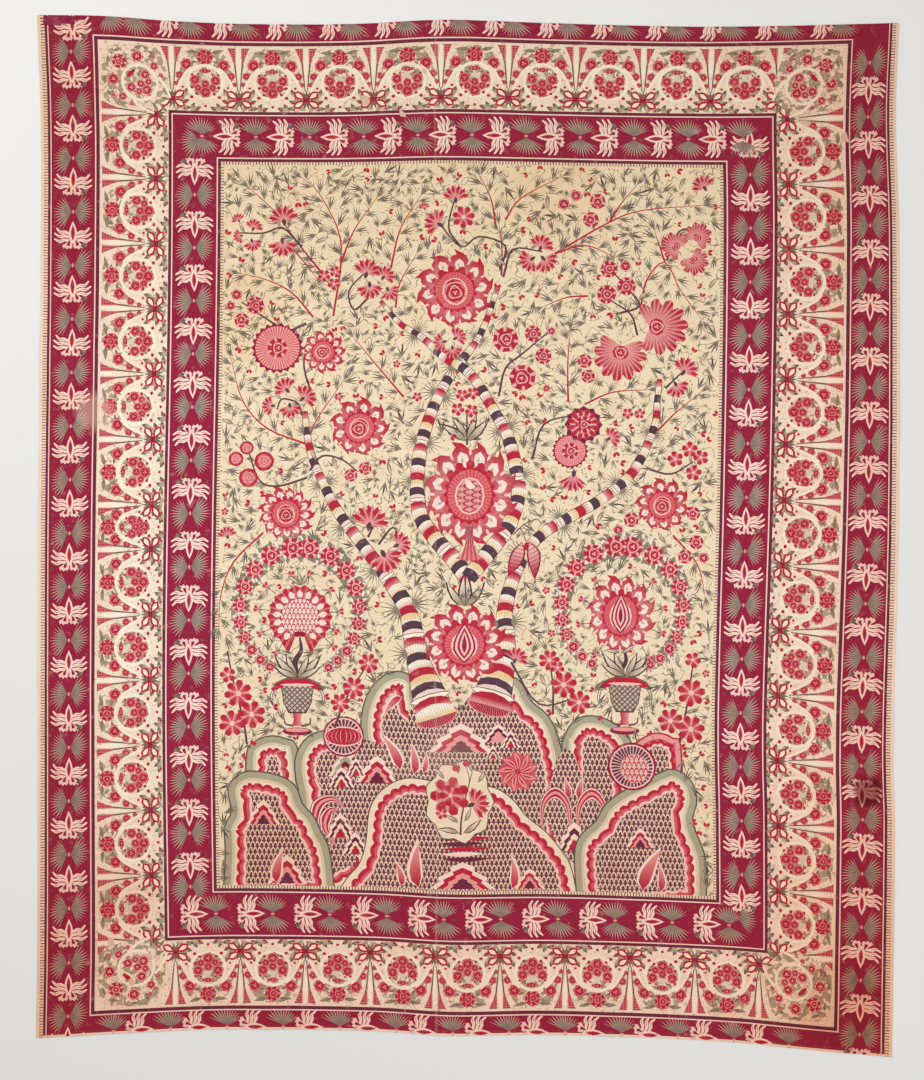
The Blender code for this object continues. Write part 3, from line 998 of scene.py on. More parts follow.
for curl in (((30.8, -87), (30, -79), (26.6, -75.4), (23.2, -78.6), (22.6, -86)),
             ((32.6, -87), (33.4, -79), (36.8, -75.4), (40, -78.4), (41, -84.5)),
             ((-37.2, -93), (-41.6, -87.5), (-41, -80.6), (-36.6, -78.4), (-33, -81.5)),
             ((-36, -92), (-39, -86.6), (-37.6, -82), (-34.8, -81.6)),
             ((-8.5, -104), (-9.5, -98), (-12.6, -95), (-12, -90.5)),
             ((18, -104), (18.6, -99), (16, -96.5)), ((23.5, -101.5), (20.5, -98.5), (24.5, -96)),
             ((49.5, -104), (50.5, -98), (51, -93), (54.5, -91)),
             ((55.5, -104), (55, -97), (57.8, -94), (60, -98.5)),
             ((-51, -104), (-51.8, -99.5), (-54.6, -97), (-53.6, -93.5))):
    path = freehand(curl)
    for wide, colour in ((38, PLUM), (33, RESIST), (24, FLOWER_RED), (8, BLUSH)):
        paint(ribbon(path, 3 * MM, 2 * MM, wide * MM), colour)
for x, y, wide, tall in ((-34.2, -75, 60, 46), (-30, -71.6, 44, 40), (-34.6, -89.6, 66, 56),
                         (-30.4, -94.2, 60, 50), (14, -62.6, 44, 40), (9, -65.6, 36, 28),
                         (31.8, -92, 78, 66)):
    peak(x, y, wide, tall, (RESIST, PLUM, MOUND_CREAM, FLOWER_RED))
mound(((-38.5, FOOT), (-33, -101.5), (-29.5, -97.5), (-27.3, -90.9), (-26.2, -81.5), (-22.6, -75.6),
       (-16, -72), (-8, -72.4), (0, -74), (8.5, -73.8), (14.3, -77.5), (18.1, -82.3), (23.8, -87),
       (28.5, -92.8), (30.9, -97.6), (33.5, FOOT)), RED_RIM)
mound(((-68.5, FOOT), (-67.4, -94), (-67.6, -87), (-65.5, -82.5), (-66.4, -75.5), (-62.5, -71.3), (-57, -71),
       (-50.5, -72.6), (-47, -75.5), (-45.5, -80), (-42.3, -83.5), (-40.3, -88), (-37.8, -94), (-36, FOOT)))
mound(((33, FOOT), (31.8, -94.7), (33.3, -88), (38, -83.3), (40.8, -78.5), (45.6, -74.7), (51.3, -71.8),
       (56, -69.2), (60.3, -67.8), (65, -70.8), (66.6, -76.6), (65.2, -82.3), (67.6, -89), (69, -94.7),
       (69, FOOT)))
for x, y, wide, tall in ((-56.5, -86, 78, 56), (-50, -103, 90, 66), (50.5, -90.5, 64, 44),
                         (0, -103, 150, 62), (19, -103, 70, 46)):
    peak(x, y, wide, tall)
for x, y, turn, long, bend in ((-53, -103, 96, 84, -0.3), (-12.5, -103, 112, 110, -0.4),
                               (-17.5, -103, 80, 60, 0.4), (14, -103, 64, 76, 0.5),
                               (51, -103, 84, 112, -0.3), (56, -103, 70, 66, 0.4)):
    horn(x, y, turn, long, bend)
for k, (wide, colour) in enumerate(((150, FLOWER_RED), (134, PLUM), (150, FLOWER_RED), (120, RESIST),
                                    (140, PLUM))):
    paint(at(0.5 + 0.6 * (-1) ** k, -88.6 - 1.5 * k)(leaf(wide, 14, 0.5, 4) - wide / 2), colour)

# The islet in the middle, with its own little plant; the melon, the round fruit and the pinwheel.
islet = at(-0.8, -78)
lobes = np.exp(2j * math.pi * np.arange(36) / 36)
cloud = (92 + 6 * np.cos(9 * np.angle(lobes))) * (lobes.real + 1.22j * lobes.imag)
paint(islet(cloud * 1.03), MOUND_EDGE)
paint(islet(cloud), MOUND_CREAM, edge=STRAW, frame=islet.frame(90))
stem(((-0.5, -87.5), (-0.2, -83), (1, -77), (3, -69.5)), 6, 2.5)
for x, y, turn, long in ((-0.8, -87, 158, 62), (0.2, -87, 26, 66), (-1, -84, 140, 44), (0.6, -83.6, 52, 44),
                         (-5, -71.6, 118, 40), (4.6, -72.4, 48, 40), (3, -69.6, 100, 34), (-1, -70, 84, 40)):
    plume(at(x, y, turn), long)
blossom(at(-3.4, -76.4), 112, 7)
blossom(at(-5.8, -81.4), 34, 5)
blossom(at(-3.2, -76.2), 62, 5)
carnation(at(4.4, -78.2, 20), 74)
stem(((1, -77), (2.2, -72), (1.4, -68)), 2.5, 2)
for x, y in ((-1.6, -68.4), (1.4, -67)):
    bud(at(x, y), 24, FLOWER_RED)
melon = at(-33.5, -60.4)
take(melon, 66)
paint(melon(oval(118, 118, 18)), CRIMSON)
paint(melon(oval(108, 108, 16)), PINK_WHITE)
paint(melon(oval(100, 100, 16)), PLUM, line=RESIST, pen=RAYS, count=26, strength=0.8, frame=melon.frame(50))
paint(melon(oval(112, 58, 16)), PINK_WHITE)
for wide in (104, 80, 56, 30):
    paint(melon(oval(wide, 50, 14)), FLOWER_RED)
    paint(melon(oval(wide - 9, 46, 14)), BLUSH)
    paint(melon(oval(wide - 14, 48, 14)), FLOWER_RED)
fruit = at(48.4, -67.4)
take(fruit, 74)
paint(fruit(oval(138, 138, 20)), CRIMSON)
paint(fruit(oval(126, 126, 18)), PINK_WHITE)
paint(fruit(oval(118, 118, 18)), PLUM, line=RESIST, pen=RAYS, count=34, strength=0.7, frame=fruit.frame(59))
paint(fruit(oval(84, 84, 14, 8 - 6j)), FLOWER_RED, line=RESIST, pen=SCALES, count=3.2, strength=0.7,
      frame=fruit.frame(42))
pinwheel = at(16, -69.4)
paint(pinwheel(curled(9, 0.86) * 60), FLOWER_RED, edge=ROSE, pen=RAYS, frame=pinwheel.frame(60))
for k in range(9):
    turn = np.exp(2j * math.pi * k / 9)
    paint(pinwheel(leaf(48, 15, 0.6, 18, points=3) * turn + 6 * turn), BLUSH)
    paint(pinwheel(leaf(36, 6, 0.6, 14, points=2) * turn + 10 * turn), FLOWER_RED)

trunk(((8.5, 69), (4.2, 56.5), (-0.8, 48.8), (-5.6, 42.1), (-10, 32.5), (-13, 20.1), (-12.8, 5), (-7.8, -3),
       (-2.6, -8.8), (2.1, -15)), (12, 17, 22, 27, 31, 37, 42, 44, 46, 46), 21,
      fans=((0.16, 36, 80), (0.37, 50, 84), (0.52, 46, 84), (0.64, 44, 80)))
trunk(((-24.5, 65), (-19, 58.5), (-12.5, 54.5), (-6.5, 49), (-1, 46), (3, 41.9), (9.2, 31.6), (12.5, 25),
       (15.3, 11.5), (12.9, 1.4), (8, -5.5), (1.5, -14)), (9, 14, 19, 24, 26, 28, 33, 37, 40, 44, 46), 21,
      fans=((0.14, 40, 95), (0.28, 50, 92), (0.52, 46, 84), (0.66, 42, 84)))
trunk(((-45.6, 33), (-43.8, 21.5), (-39.5, 11.5), (-34.8, 2.9), (-24.8, -10), (-15.8, -23), (-12.1, -38.7),
       (-7, -54)), (15, 20, 25, 30, 36, 50, 66, 118), 23,
      fans=((0.05, 26, 80), (0.22, 44, 84), (0.36, 50, 84), (0.52, 52, 84), (0.66, 62, 84), (0.80, 56, 90)))
trunk(((54.4, 43.5), (53.8, 37.3), (53.2, 30.1), (47.6, 17.2), (38.2, 8.6), (22, -1.4), (15.5, -11),
       (12, -23), (12.4, -34.4), (8, -50.5)), (13, 16, 20, 26, 29, 30, 33, 44, 52, 122), 23,
      fans=((0.14, 38, 84), (0.30, 42, 84), (0.47, 44, 84), (0.60, 50, 84), (0.78, 52, 84)))

# --------------------------------------
# The great flowers of the tree, and the many smaller ones on brown stems between them.

for points in (
    ((-28, 66), (-32, 62.5), (-33.5, 68), (-28.3, 74)),
    ((-45.5, 58.5), (-51, 56.5), (-58, 60.5), (-64, 64.5)),
    ((-47, 80.5), (-52.4, 86), (-58, 84.5), (-65, 84.5)),
    ((9, 74), (10.5, 81), (3, 83.5), (-2, 80.5), (-8.5, 87.5)),
    ((-2, 80.5), (-5.5, 86), (-3.6, 95)),
    ((10, 72), (12.8, 80), (21, 79.5)),
    ((9.2, 38), (11, 46), (16, 50.5), (23.5, 57)),
    ((42, 62), (48.5, 64.5), (44.5, 70), (40, 75)),
    ((48, 56), (46, 62), (40, 66)),
    ((56, 77.5), (59.5, 86), (66, 86)),
    ((-44.5, 14), (-52.5, 11.5), (-58, 13), (-61.5, 22)),
    ((-43, 36), (-46, 46), (-45, 54)),
    ((-46.4, 32), (-47.6, 35.4), (-52, 36.6), (-53.4, 33.6)),
    ((-43.8, 16), (-40.5, 20.2), (-35, 19.4), (-30.2, 15.8)),
    ((19, 20), (22, 30), (31, 33)),
    ((-24, -5), (-20, 0), (-17.5, -4.5)),
    ((-27, -3), (-25, 2)),
    ((56, 41), (61, 46)),
    ((51, 18), (58, 16.5), (64, 20)),
    ((14, -38), (22, -50), (33, -48)),
    ((26, -53), (26, -45), (24.8, -37)),
    ((-36, -58), (-33, -50), (-27, -40)),
    ((-61, -63), (-62, -56), (-65, -44), (-66.5, -36)),
    ((62, -60), (64, -50), (65.5, -38)),
    ((0.5, 24), (0.3, 33)),
):
    side = 1
    for here, heading in along_path(stem(points, 6.6, 4), 5.2):
        plume(Hand(here, heading + 50 * side, MM).move(2), field_hand.uniform(26, 38), SPRAY,
              bend=0.2 * side)
        filled.append((here, 0.016))
        side = -side

great_flower(at(1.5, 9.8, 90), 300, 12, SEEDED, 0.86)
great_flower(at(0.7, -33, 90), 232, 12, LENSED, 1)
great_flower(at(-3.6, 68, 100), 218, 10, ROSY)
great_flower(at(-30, 28.5, 60), 168, 9, ROSY)
great_flower(at(55.8, 7.5, 80), 152, 10, ROSY)
great_flower(at(-50.4, 3.5, 95), 158, 13, ROSY)
great_flower(at(-40.6, 50.3, 20), 124, 11, ROSY)
rayed_disc(at(-53.6, 51.3), 150)
rayed_disc(at(29.6, 22.6), 104, 0.5)
carnation(at(30.6, 14.2, -95), 74, 5, 60)
mum(at(54.2, 58.6, 5), 148)
mum(at(43.2, 50.2, -98), 138)
for x, y, turn in ((58.2, 81.8, 150), (64.7, 84.6, 60), (63.8, 77.4, -50)):
    mum(at(x, y, turn), 74, 7)
scalloped = at(33.2, 30.2)
paint(scalloped(star(12, 0.86) * 54), PLUM)
blossom(scalloped, 96, 12, FLOWER_RED, RESIST)
rose(scalloped, 52, lobes=7)
flared = through([11 + 34j, 10 + 12j, 13 - 22j, 24 - 46j, 38 - 58j], 3)
flared = np.concatenate([-np.conj(flared), [-66j], flared[::-1]])
paint(at(1.7, -2.6)(flared), CRIMSON, edge=ROSE, line=PINK_WHITE, pen=RAYS, count=44, strength=0.5,
      frame=(complex(at(1.7, 0.6)(0)), -0.10j))
take(at(1.7, -6.2), 40)
for y, turn, long in ((26, 62, 74), (26, 118, 74), (25, 40, 92), (25, 140, 92)):
    plume(at(0.4, y, turn), long, bend=0.12)
for turn, bend in ((70, 0.3), (110, -0.3), (35, 0.3), (145, -0.3)):
    plume(at(0.7, -22, turn), 88, bend=bend)
for x, turn, bend in ((16.6, -104, -14), (18.4, -62, -34)):
    pod = at(x, -3.6, turn)
    paint(pod(leaf(106, 42, 0.42, bend, 6)), CRIMSON)
    paint(pod(leaf(98, 32, 0.42, bend, 6) + 3), PINK_WHITE, edge=FLOWER_RED, line=CRIMSON, pen=BARS, count=9,
          strength=0.55, frame=pod.frame(100))
stem(((20.6, 3), (17, 1.4), (14, -1.6)), 3, 2, INK)
stem(((14, -1.6), (16, 0.2), (17.6, -3.4)), 3, 2.4, INK)
take(at(17.8, -8.5), 62)

CARNATIONS = (
    (-52.4, 89.5, 100, 68), (-52.4, 80.6, -85, 66), (-60.5, 86.7, 70, 42), (-65.3, 88.7, 120, 32),
    (-65, 83.4, 200, 34), (-60.8, 81.2, -70, 44), (-28.3, 74.2, 75, 66), (-23, 72.6, 45, 50),
    (-27.6, 68.2, -85, 60), (-21.8, 67.4, -50, 46), (-3.6, 95.4, 92, 60), (-9.4, 87.6, 150, 66),
    (20.9, 81.8, 70, 58), (17, 76.6, 215, 58), (22.2, 76.4, -50, 60), (66, 99.6, 120, 56),
    (-51.5, 40.2, 130, 56), (-45.2, 37.6, 40, 60), (-55.8, 34.6, 180, 46), (-49.6, 33.4, -80, 52),
    (61.8, 47, 60, 64), (59.6, 41, -60, 56), (41.4, 26.8, 30, 50), (-26.4, 2.4, 80, 86),
    (-21.6, -9.4, -60, 80), (-17.6, -4.4, 30, 60), (15.8, -36.4, 60, 56), (-67, -2.2, 100, 44),
    (-7.5, 53, 200, 46), (-2.4, 55.2, 40, 48), (-3.9, 50.6, -80, 44), (-12.5, 92, 100, 26),
)
for x, y, turn, across in CARNATIONS:
    carnation(at(x, y, turn), across)

ROSES = (
    (-60, 63.6, 56), (-63.8, 59.2, 48), (-65.4, 66.6, 36), (-67, 63.4, 30), (10.9, 54.2, 80),
    (18.6, 56, 52), (21.6, 49.6, 52), (15.8, 43.4, 82), (23.8, 56.8, 26), (22.6, 40.4, 24),
    (36.5, 94.2, 50), (34.6, 88.9, 50), (30.4, 95.7, 36), (27, 93.2, 38), (39.8, 74.8, 54),
    (44.4, 75.8, 36), (39.2, 67.6, 60), (44.8, 70, 58), (33.3, 48.4, 46), (34.3, 44, 44),
    (-32.2, 14.8, 42), (-28.2, 16.8, 42), (47.2, 3.2, 48), (64.6, 5.4, 44), (62.6, -7, 46),
    (65.6, -2.8, 46), (67.8, -7.2, 34), (43.6, 0.2, 34), (40.2, -2.6, 30),
)
for x, y, across in ROSES:
    rose(at(x, y, 37 * x), across, lobes=7 if across > 50 else 5, petals=2.6 if across > 50 else 1.8)
    take(at(x, y), across * 0.5)

BLOSSOMS = (
    (-40.6, 72.3, 36), (-37.4, 73.4, 34), (-37.8, 69.9, 36), (-1.3, 89, 64), (-1.1, 38.2, 36),
    (1.9, 38.8, 36), (-2.3, 34.2, 38), (1.6, 33.8, 38), (45.6, 33.6, 32), (49, 33.6, 30),
    (59.2, 20.8, 46), (63.2, 23.6, 46), (66.4, 21.4, 44), (64.4, 17, 46), (24.8, -37.4, 60),
    (29, -44.4, 76), (33.4, -49.4, 68), (27.2, -39.6, 40), (65.5, -36.4, 46), (65.2, -45.8, 80),
    (65.2, -56.2, 80), (59.4, -54, 72), (-26.4, -39.2, 58), (-30.6, -46.4, 64), (-34.4, -50.8, 56),
    (-66.4, -43, 46), (-63.4, -48.4, 80), (-65.2, -57, 76), (-59.6, -54.4, 80), (-13.8, 37.6, 28),
    (-36, 37.4, 24),
)
for x, y, across in BLOSSOMS:
    blossom(at(x, y, 51 * x), across, 5 if across < 50 else 7)

for x, y, across in ((-61.8, 22.4, 40), (-64.8, 19.2, 43), (-56.8, 18.6, 56), (-61.2, 13.8, 55)):
    ringed_fruit(at(x, y), across)

# --------------------------------------
# The two rose wreaths, each round a flower that stands in a latticed urn.

WREATH_LEAF = dye(150, 138, 116)
URN_GREY = dye(204, 182, 164)


def wreath(x, y, wide, tall):
    """Roses strung on a leafy ring, the largest at its head, shrinking down both its sides."""
    turns = np.radians(np.linspace(-158, 158, 41))
    ring = (x + wide * np.sin(turns) + 1j * (y + tall * np.cos(turns))) * CM
    paint(ribbon_of(ring, (74 - 0.27 * np.abs(np.degrees(turns))) * MM), CREAM, edge=WREATH_LEAF, line=INK,
          pen=FOLIAGE, count=85, strength=0.75)
    for side in (1, -1):
        turn = 8.0
        while turn < 160:
            across = 70 - 0.250 * turn
            place = at(x + side * wide * math.sin(math.radians(turn)),
                       y + tall * math.cos(math.radians(turn)))
            for lean in (-118, -62, 62, 118):
                twig = Hand(place.at, 90 - side * turn + lean + 90, MM).move(across * 0.34)
                paint(twig(leaf(across * 0.36, across * 0.20, 0.5, 3, points=2)), INK, edge=WREATH_LEAF,
                      frame=twig.frame(across * 0.2))
            rose(place, across * 0.98, heart=FLOWER_RED, rim=FLOWER_RED, lobes=7, petals=2)
            turn += math.degrees(across * 0.98 * MM / (0.5 * (wide + tall) * CM))


def scaled_bloom(hand, across):
    """A round scalloped bloom: a ring of white drops about a scaled heart, and two points below."""
    half = across / 2
    turns = np.radians(np.linspace(-148, 148, 31))
    scallops = np.where(np.arange(31) % 2 == 0, 1, 0.92) * np.exp(1j * turns)
    outline = np.concatenate([scallops, [-1.14 + 0.34j, -0.62 + 0.14j, -0.62 - 0.14j, -1.14 - 0.34j]])
    paint(hand(outline * half), BLUSH, edge=FLOWER_RED, line=PINK_WHITE, pen=RAYS, count=30, strength=0.25,
          frame=hand.frame(0.94 * half))
    for turn in np.radians(np.linspace(-146, 146, 15)):
        paint(hand((leaf(0.30, 0.19, 0.6, 0.02, points=3) + 0.54) * np.exp(1j * turn) * half), RESIST)
    paint(hand(star(15, 0.90) * half * 0.62), CRIMSON)
    paint(hand(oval(1.14, 1.14, 20) * half), FLOWER_RED, line=RESIST, pen=SCALES, count=8, strength=0.95,
          frame=hand.frame(-1j * half))
    paint(hand(oval(0.16, 0.40, 8, -0.52) * half), CRIMSON)
    take(hand, half)


def urn(x, y):
    """A red-rimmed bowl in plum lattice on a turned foot, with a scroll handle on either side."""
    hand = at(x, y)
    filled.extend([(complex(x, y - 2) * CM, 0.055), (complex(x, y - 10) * CM, 0.035)])
    paint(hand([-14 - 70j, 14 - 70j, 10 - 96j, 16 - 112j, -16 - 112j, -10 - 96j]), FLOWER_RED, edge=BLUSH,
          frame=hand.frame(36, -16))
    paint(hand(oval(86, 24, 12, -128j)), CRIMSON)
    paint(hand(oval(70, 12, 10, -124j)), BLUSH)
    for side in (1, -1):
        loop = through([side * 50 + 4j, side * 70 - 14j, side * 74 - 42j, side * 60 - 56j, side * 55 - 44j],
                       3)
        paint(hand(ribbon(loop, 9, 7)), MOSS)
        paint(hand(ribbon(loop, 4, 2)), CREAM)
        curl = through([side * 12 - 112j, side * 34 - 106j, side * 38 - 88j], 3)
        paint(hand(ribbon(curl, 6, 3)), STEM)
    bowl = np.array([-47 + 4j, -42 - 14j, -38 - 44j, -24 - 72j, 24 - 72j, 38 - 44j, 42 - 14j, 47 + 4j])
    paint(hand(bowl * 1.05), INK)
    paint(hand(bowl), URN_GREY, line=INK, pen=LATTICE, count=66, strength=0.85, frame=(complex(hand(0)), 1))
    rim = np.array([-72 - 10j, -60 + 10j, -28 + 24j, 28 + 24j, 60 + 10j, 72 - 10j, 54 - 6j, 26 + 6j,
                    -26 + 6j, -54 - 6j])
    paint(hand(rim * 1.06 + 2j), MOSS)
    paint(hand(rim), FLOWER_RED)
    paint(hand(oval(98, 9, 8, 6j)), PINK_WHITE)


for x, y, wide, tall in ((-46.1, -24.6, 17, 18.4), (45.2, -22.4, 17.2, 18)):
    wreath(x, y, wide, tall)
    for turn in np.arange(0, 360, 24):
        bearing = math.radians(turn)
        filled.append(((x + wide * math.sin(bearing) + 1j * (y + tall * math.cos(bearing))) * CM, 0.034))
stem(((-46, -32), (-45.6, -36), (-47.4, -39.5), (-46.6, -46)), 5, 24, BAND_PLUM)
stem(((45.4, -32), (46.6, -37), (45.2, -40), (46.4, -44)), 5, 24, BAND_PLUM)
urn(-46.6, -46.4)
urn(46.4, -44.4)
for x, y in ((-46.6, -43.4), (46.4, -41.4)):
    for turn, bend in ((28, 0.28), (52, 0.2), (128, -0.2), (152, -0.28), (8, 0.3), (172, -0.3)):
        plume(at(x, y, turn), 92 if turn in (28, 152) else 74, bend=bend)
scaled_bloom(at(-46, -26.2, 90), 186)
great_flower(at(44.8, -24.2, 90), 228, 12, LENSED, 0.84)
for x, y, turn in ((-48.5, -14.2, 100), (-43.4, -14, 70), (-37.5, -18.5, 40), (-34.8, -24.5, 10),
                   (-36, -30, -30), (-55.5, -17.5, 140), (-58, -24, 170), (-57, -31, 210),
                   (-36.5, -34.5, -40), (-52.5, -36.5, 220), (38, -35.5, 210), (53, -36, -40),
                   (56.5, -29, -10), (56.8, -22, 10), (33.5, -27, 190), (34, -20, 160), (37.5, -14.5, 130),
                   (53.5, -14.5, 40)):
    side = math.copysign(1, x)
    middle = complex(side * 45.5, -25.5)
    root = middle + 0.74 * (complex(x, y) - middle)
    stem(((root.real, root.imag), (x, y)), 2.4, 1.6, INK)
    carnation(at(x, y, turn), 30, 2, 42)
    for lean in (130, -130):
        plume(at(x, y, turn + lean).move(3), 24, bend=0.1)
for x, y, turn in ((-46, -17.2, 90), (-46, -17.2, 50), (-46, -17.2, 130), (45, -35, 20), (45, -35, 160)):
    plume(at(x, y, turn), 46, bend=0.2)

# --------------------------------------
# The small sprays, bud pairs and leaves that fill every gap of the field, set down one by one.

SPRAY_TRIES = 16000
LEAST_ROOM = 0.0078
BUD_ROOM = 0.0095
LEAF_ROOM = 0.016
LONGEST = 40.0
left, bottom, right, top = grown(FIELD, -0.022)


def in_hills(place):
    """Whether a place lies within any mound's outline."""
    for hill in hills:
        turned = np.roll(hill, -1)
        crosses = (hill.imag > place.imag) != (turned.imag > place.imag)
        rise = np.where(crosses, turned.imag - hill.imag, 1.0)
        at_level = hill.real + (place.imag - hill.imag) / rise * (turned.real - hill.real)
        if np.sum(crosses & (place.real < at_level)) % 2:
            return True
    return False


for _ in range(SPRAY_TRIES):
    place = complex(field_hand.uniform(left, right), field_hand.uniform(bottom, top))
    room = min(abs(place - spot) - radius for spot, radius in filled)
    if room < LEAST_ROOM or in_hills(place):
        continue
    long = min(LONGEST, room / MM * 2.5)
    turn = field_hand.uniform(0, 360)
    hand = Hand(place, turn, MM).move(-long * 0.5)
    chance = field_hand.random()
    if chance < 0.20 and room > BUD_ROOM:
        berries(hand, field_hand.uniform(8, 11))
    elif chance < 0.30 and room > LEAF_ROOM:
        plume(hand, long, bend=field_hand.uniform(-0.3, 0.3))
    elif chance < 0.33 and room > LEAF_ROOM:
        blossom(Hand(place, turn, MM), 22, 5)
    else:
        spray(hand, long * 1.22, int(field_hand.integers(3, 6)), field_hand.uniform(17, 30))
    filled.append((place, long * 0.30 * MM))

# --------------------------------------
# The cloth itself. The drawing is triangulated flat, carried to the hand-cut outline, and lifted
# where the cloth doesn't lie quite flat. Below it lies the plain underside, joined round the rim.

CLOTH_THICKNESS = 0.0012
HEM_WIDTH = 0.014
HEM_EXTRA = 0.0008
TOP_SPACING = 0.036
BEND_SPACING = 0.045
BEND_TOLERANCES = (0.00012, 0.00020, 0.00025)
UNDER_SPACING = 0.060
RIPPLE = 0.0004

# Each ridge has its centre, its direction in degrees, its length, half its width and its height.
Ridge = namedtuple("Ridge", "x y turn length half_width height")
RIDGES = (
    Ridge(-0.080, 0.020, 90.0, 2.96, 0.055, 0.0030),
    Ridge(-0.225, 1.230, 62.0, 0.50, 0.060, 0.0045),
    Ridge(0.095, 1.240, 118.0, 0.46, 0.060, 0.0040),
    Ridge(-1.000, 1.180, 128.0, 0.58, 0.070, 0.0050),
    Ridge(-0.760, 1.280, 100.0, 0.40, 0.060, 0.0030),
    Ridge(1.030, 1.180, 56.0, 0.60, 0.070, 0.0055),
    Ridge(0.633, 0.950, 91.0, 1.05, 0.050, 0.0025),
    Ridge(-1.120, 0.520, 12.0, 0.34, 0.080, 0.0035),
    Ridge(-1.130, -0.420, -8.0, 0.30, 0.070, 0.0030),
    Ridge(1.120, 0.330, -10.0, 0.32, 0.075, 0.0035),
    Ridge(1.090, -0.560, 14.0, 0.34, 0.080, 0.0040),
    Ridge(-0.980, -1.210, 58.0, 0.50, 0.065, 0.0045),
    Ridge(-0.560, -1.270, 84.0, 0.42, 0.060, 0.0030),
    Ridge(0.380, -1.280, 96.0, 0.40, 0.060, 0.0030),
    Ridge(0.960, -1.220, 122.0, 0.52, 0.070, 0.0050),
)


def lift(places):
    """How high the cloth's underside is off the floor, with the faint ripple of a washed cloth."""
    x, y = places[:, 0], places[:, 1]
    height = np.zeros(len(places))
    for ridge in RIDGES:
        turn = math.radians(ridge.turn)
        dx, dy = x - ridge.x, y - ridge.y
        along = np.abs(dx * math.cos(turn) + dy * math.sin(turn)) / (ridge.length / 2)
        aside = np.abs(dy * math.cos(turn) - dx * math.sin(turn)) / ridge.half_width
        rise = np.cos(math.pi * np.clip(aside, 0, 1) / 2) ** 2
        height += ridge.height * rise * np.cos(math.pi * np.clip(along, 0, 1) / 2)
    ripple = np.sin(17 * x + 3 * np.sin(5 * y)) * np.sin(13 * y + 2 * np.sin(7 * x + 1))
    return height + RIPPLE * (1 + ripple)


def grid(spacing):
    """Loose points all over the plan, so that the cloth can bend between the drawn lines."""
    columns = np.linspace(-HALF_WIDTH, HALF_WIDTH, round(2 * HALF_WIDTH / spacing) + 1)[1:-1]
    rows = np.linspace(-HALF_LENGTH, HALF_LENGTH, round(2 * HALF_LENGTH / spacing) + 1)[1:-1]
    across, up = np.meshgrid(columns, rows)
    return (across + 1j * up).ravel()


def inside(outline, places):
    """Which places the outline runs round, even where it crosses itself."""
    turns = np.zeros(len(places), dtype=int)
    for start, end in zip(outline, np.roll(outline, -1)):
        leftness = ((end - start).conjugate() * (places - start)).imag
        turns += (start.imag <= places.imag) & (end.imag > places.imag) & (leftness > 0)
        turns -= (start.imag > places.imag) & (end.imag <= places.imag) & (leftness < 0)
    return turns > 0


def cut_up(points, sides):
    """Triangles of flat points that keep the given sides."""
    corners = [Vector((point.real, point.imag)) for point in points]
    found, _, triangles, _, _, _ = delaunay_2d_cdt(corners, sides, [], 0, 1e-6, False)
    return np.array([complex(*v) for v in found]), np.array(triangles)


def topmost(outlines, places):
    """For each place, the number of the last shape drawn over it, or -1 off the cloth."""
    order = np.argsort(places.real)
    places = places[order]
    tops = np.full(len(places), -1)
    for k, outline in enumerate(outlines):
        first, last = np.searchsorted(places.real, (outline.real.min(), outline.real.max()))
        level = places.imag[first:last]
        near = first + np.nonzero((level > outline.imag.min()) & (level < outline.imag.max()))[0]
        tops[near[inside(outline, places[near])]] = k
    tops[~inside(outlines[0], places)] = -1
    unsorted = np.empty_like(tops)
    unsorted[order] = tops
    return unsorted


def seen_sides(found, triangles, tops):
    """The sides between unlike shapes, less the points that hardly bend them."""
    sides = np.sort(np.concatenate([triangles[:, [0, 1]], triangles[:, [1, 2]], triangles[:, [2, 0]]]),
                    axis=1)
    sides, back = np.unique(sides, axis=0, return_inverse=True)
    back = back.ravel()
    lowest = np.full(len(sides), 1 << 30)
    highest = np.full(len(sides), -1)
    held = np.zeros(len(sides), dtype=int)
    shapes = np.tile(tops, 3)
    np.minimum.at(lowest, back, shapes)
    np.maximum.at(highest, back, shapes)
    np.add.at(held, back, 1)
    joined = {}
    for a, b in sides[(lowest != highest) | (held == 1)].tolist():
        joined.setdefault(a, set()).add(b)
        joined.setdefault(b, set()).add(a)
    for tolerance in BEND_TOLERANCES:
        touched = set()
        for a in sorted(joined):
            if len(joined[a]) != 2 or a in touched:
                continue
            b, c = joined[a]
            line = found[c] - found[b]
            if c in joined[b] or not 1e-7 < abs(line) < BEND_SPACING:
                continue
            if abs((line.conjugate() * (found[a] - found[b])).imag) / abs(line) < tolerance:
                joined[b] = (joined[b] - {a}) | {c}
                joined[c] = (joined[c] - {a}) | {b}
                del joined[a]
                touched |= {b, c}
    return joined


def triangulate(outlines, loose):
    """Triangles of the plan, each with the topmost shape that covers its middle."""
    drawn = np.concatenate(outlines)
    starts = np.cumsum([0] + [len(outline) for outline in outlines])
    sides = []
    for first, end in zip(starts, starts[1:]):
        sides += [(k, k + 1 if k + 1 < end else first) for k in range(first, end)]
    found, triangles = cut_up(drawn, sides)
    tops = topmost(outlines, found[triangles].mean(axis=1))
    joined = seen_sides(found, triangles[tops >= 0], tops[tops >= 0])
    kept = sorted(joined)
    number = {a: k for k, a in enumerate(kept)}
    sides = [(number[a], number[b]) for a in kept for b in joined[a] if a < b]
    cell = 0.4 * (loose[1] - loose[0]).real
    crowded = set(zip((found[kept].real // cell).tolist(), (found[kept].imag // cell).tolist()))
    spare = [place for place in loose if (place.real // cell, place.imag // cell) not in crowded]
    found, triangles = cut_up(np.concatenate([found[kept], spare]), sides)
    tops = topmost(outlines, found[triangles].mean(axis=1))
    return found, triangles[tops >= 0], tops[tops >= 0]


plan, faces, tops = triangulate(drawing, grid(TOP_SPACING))

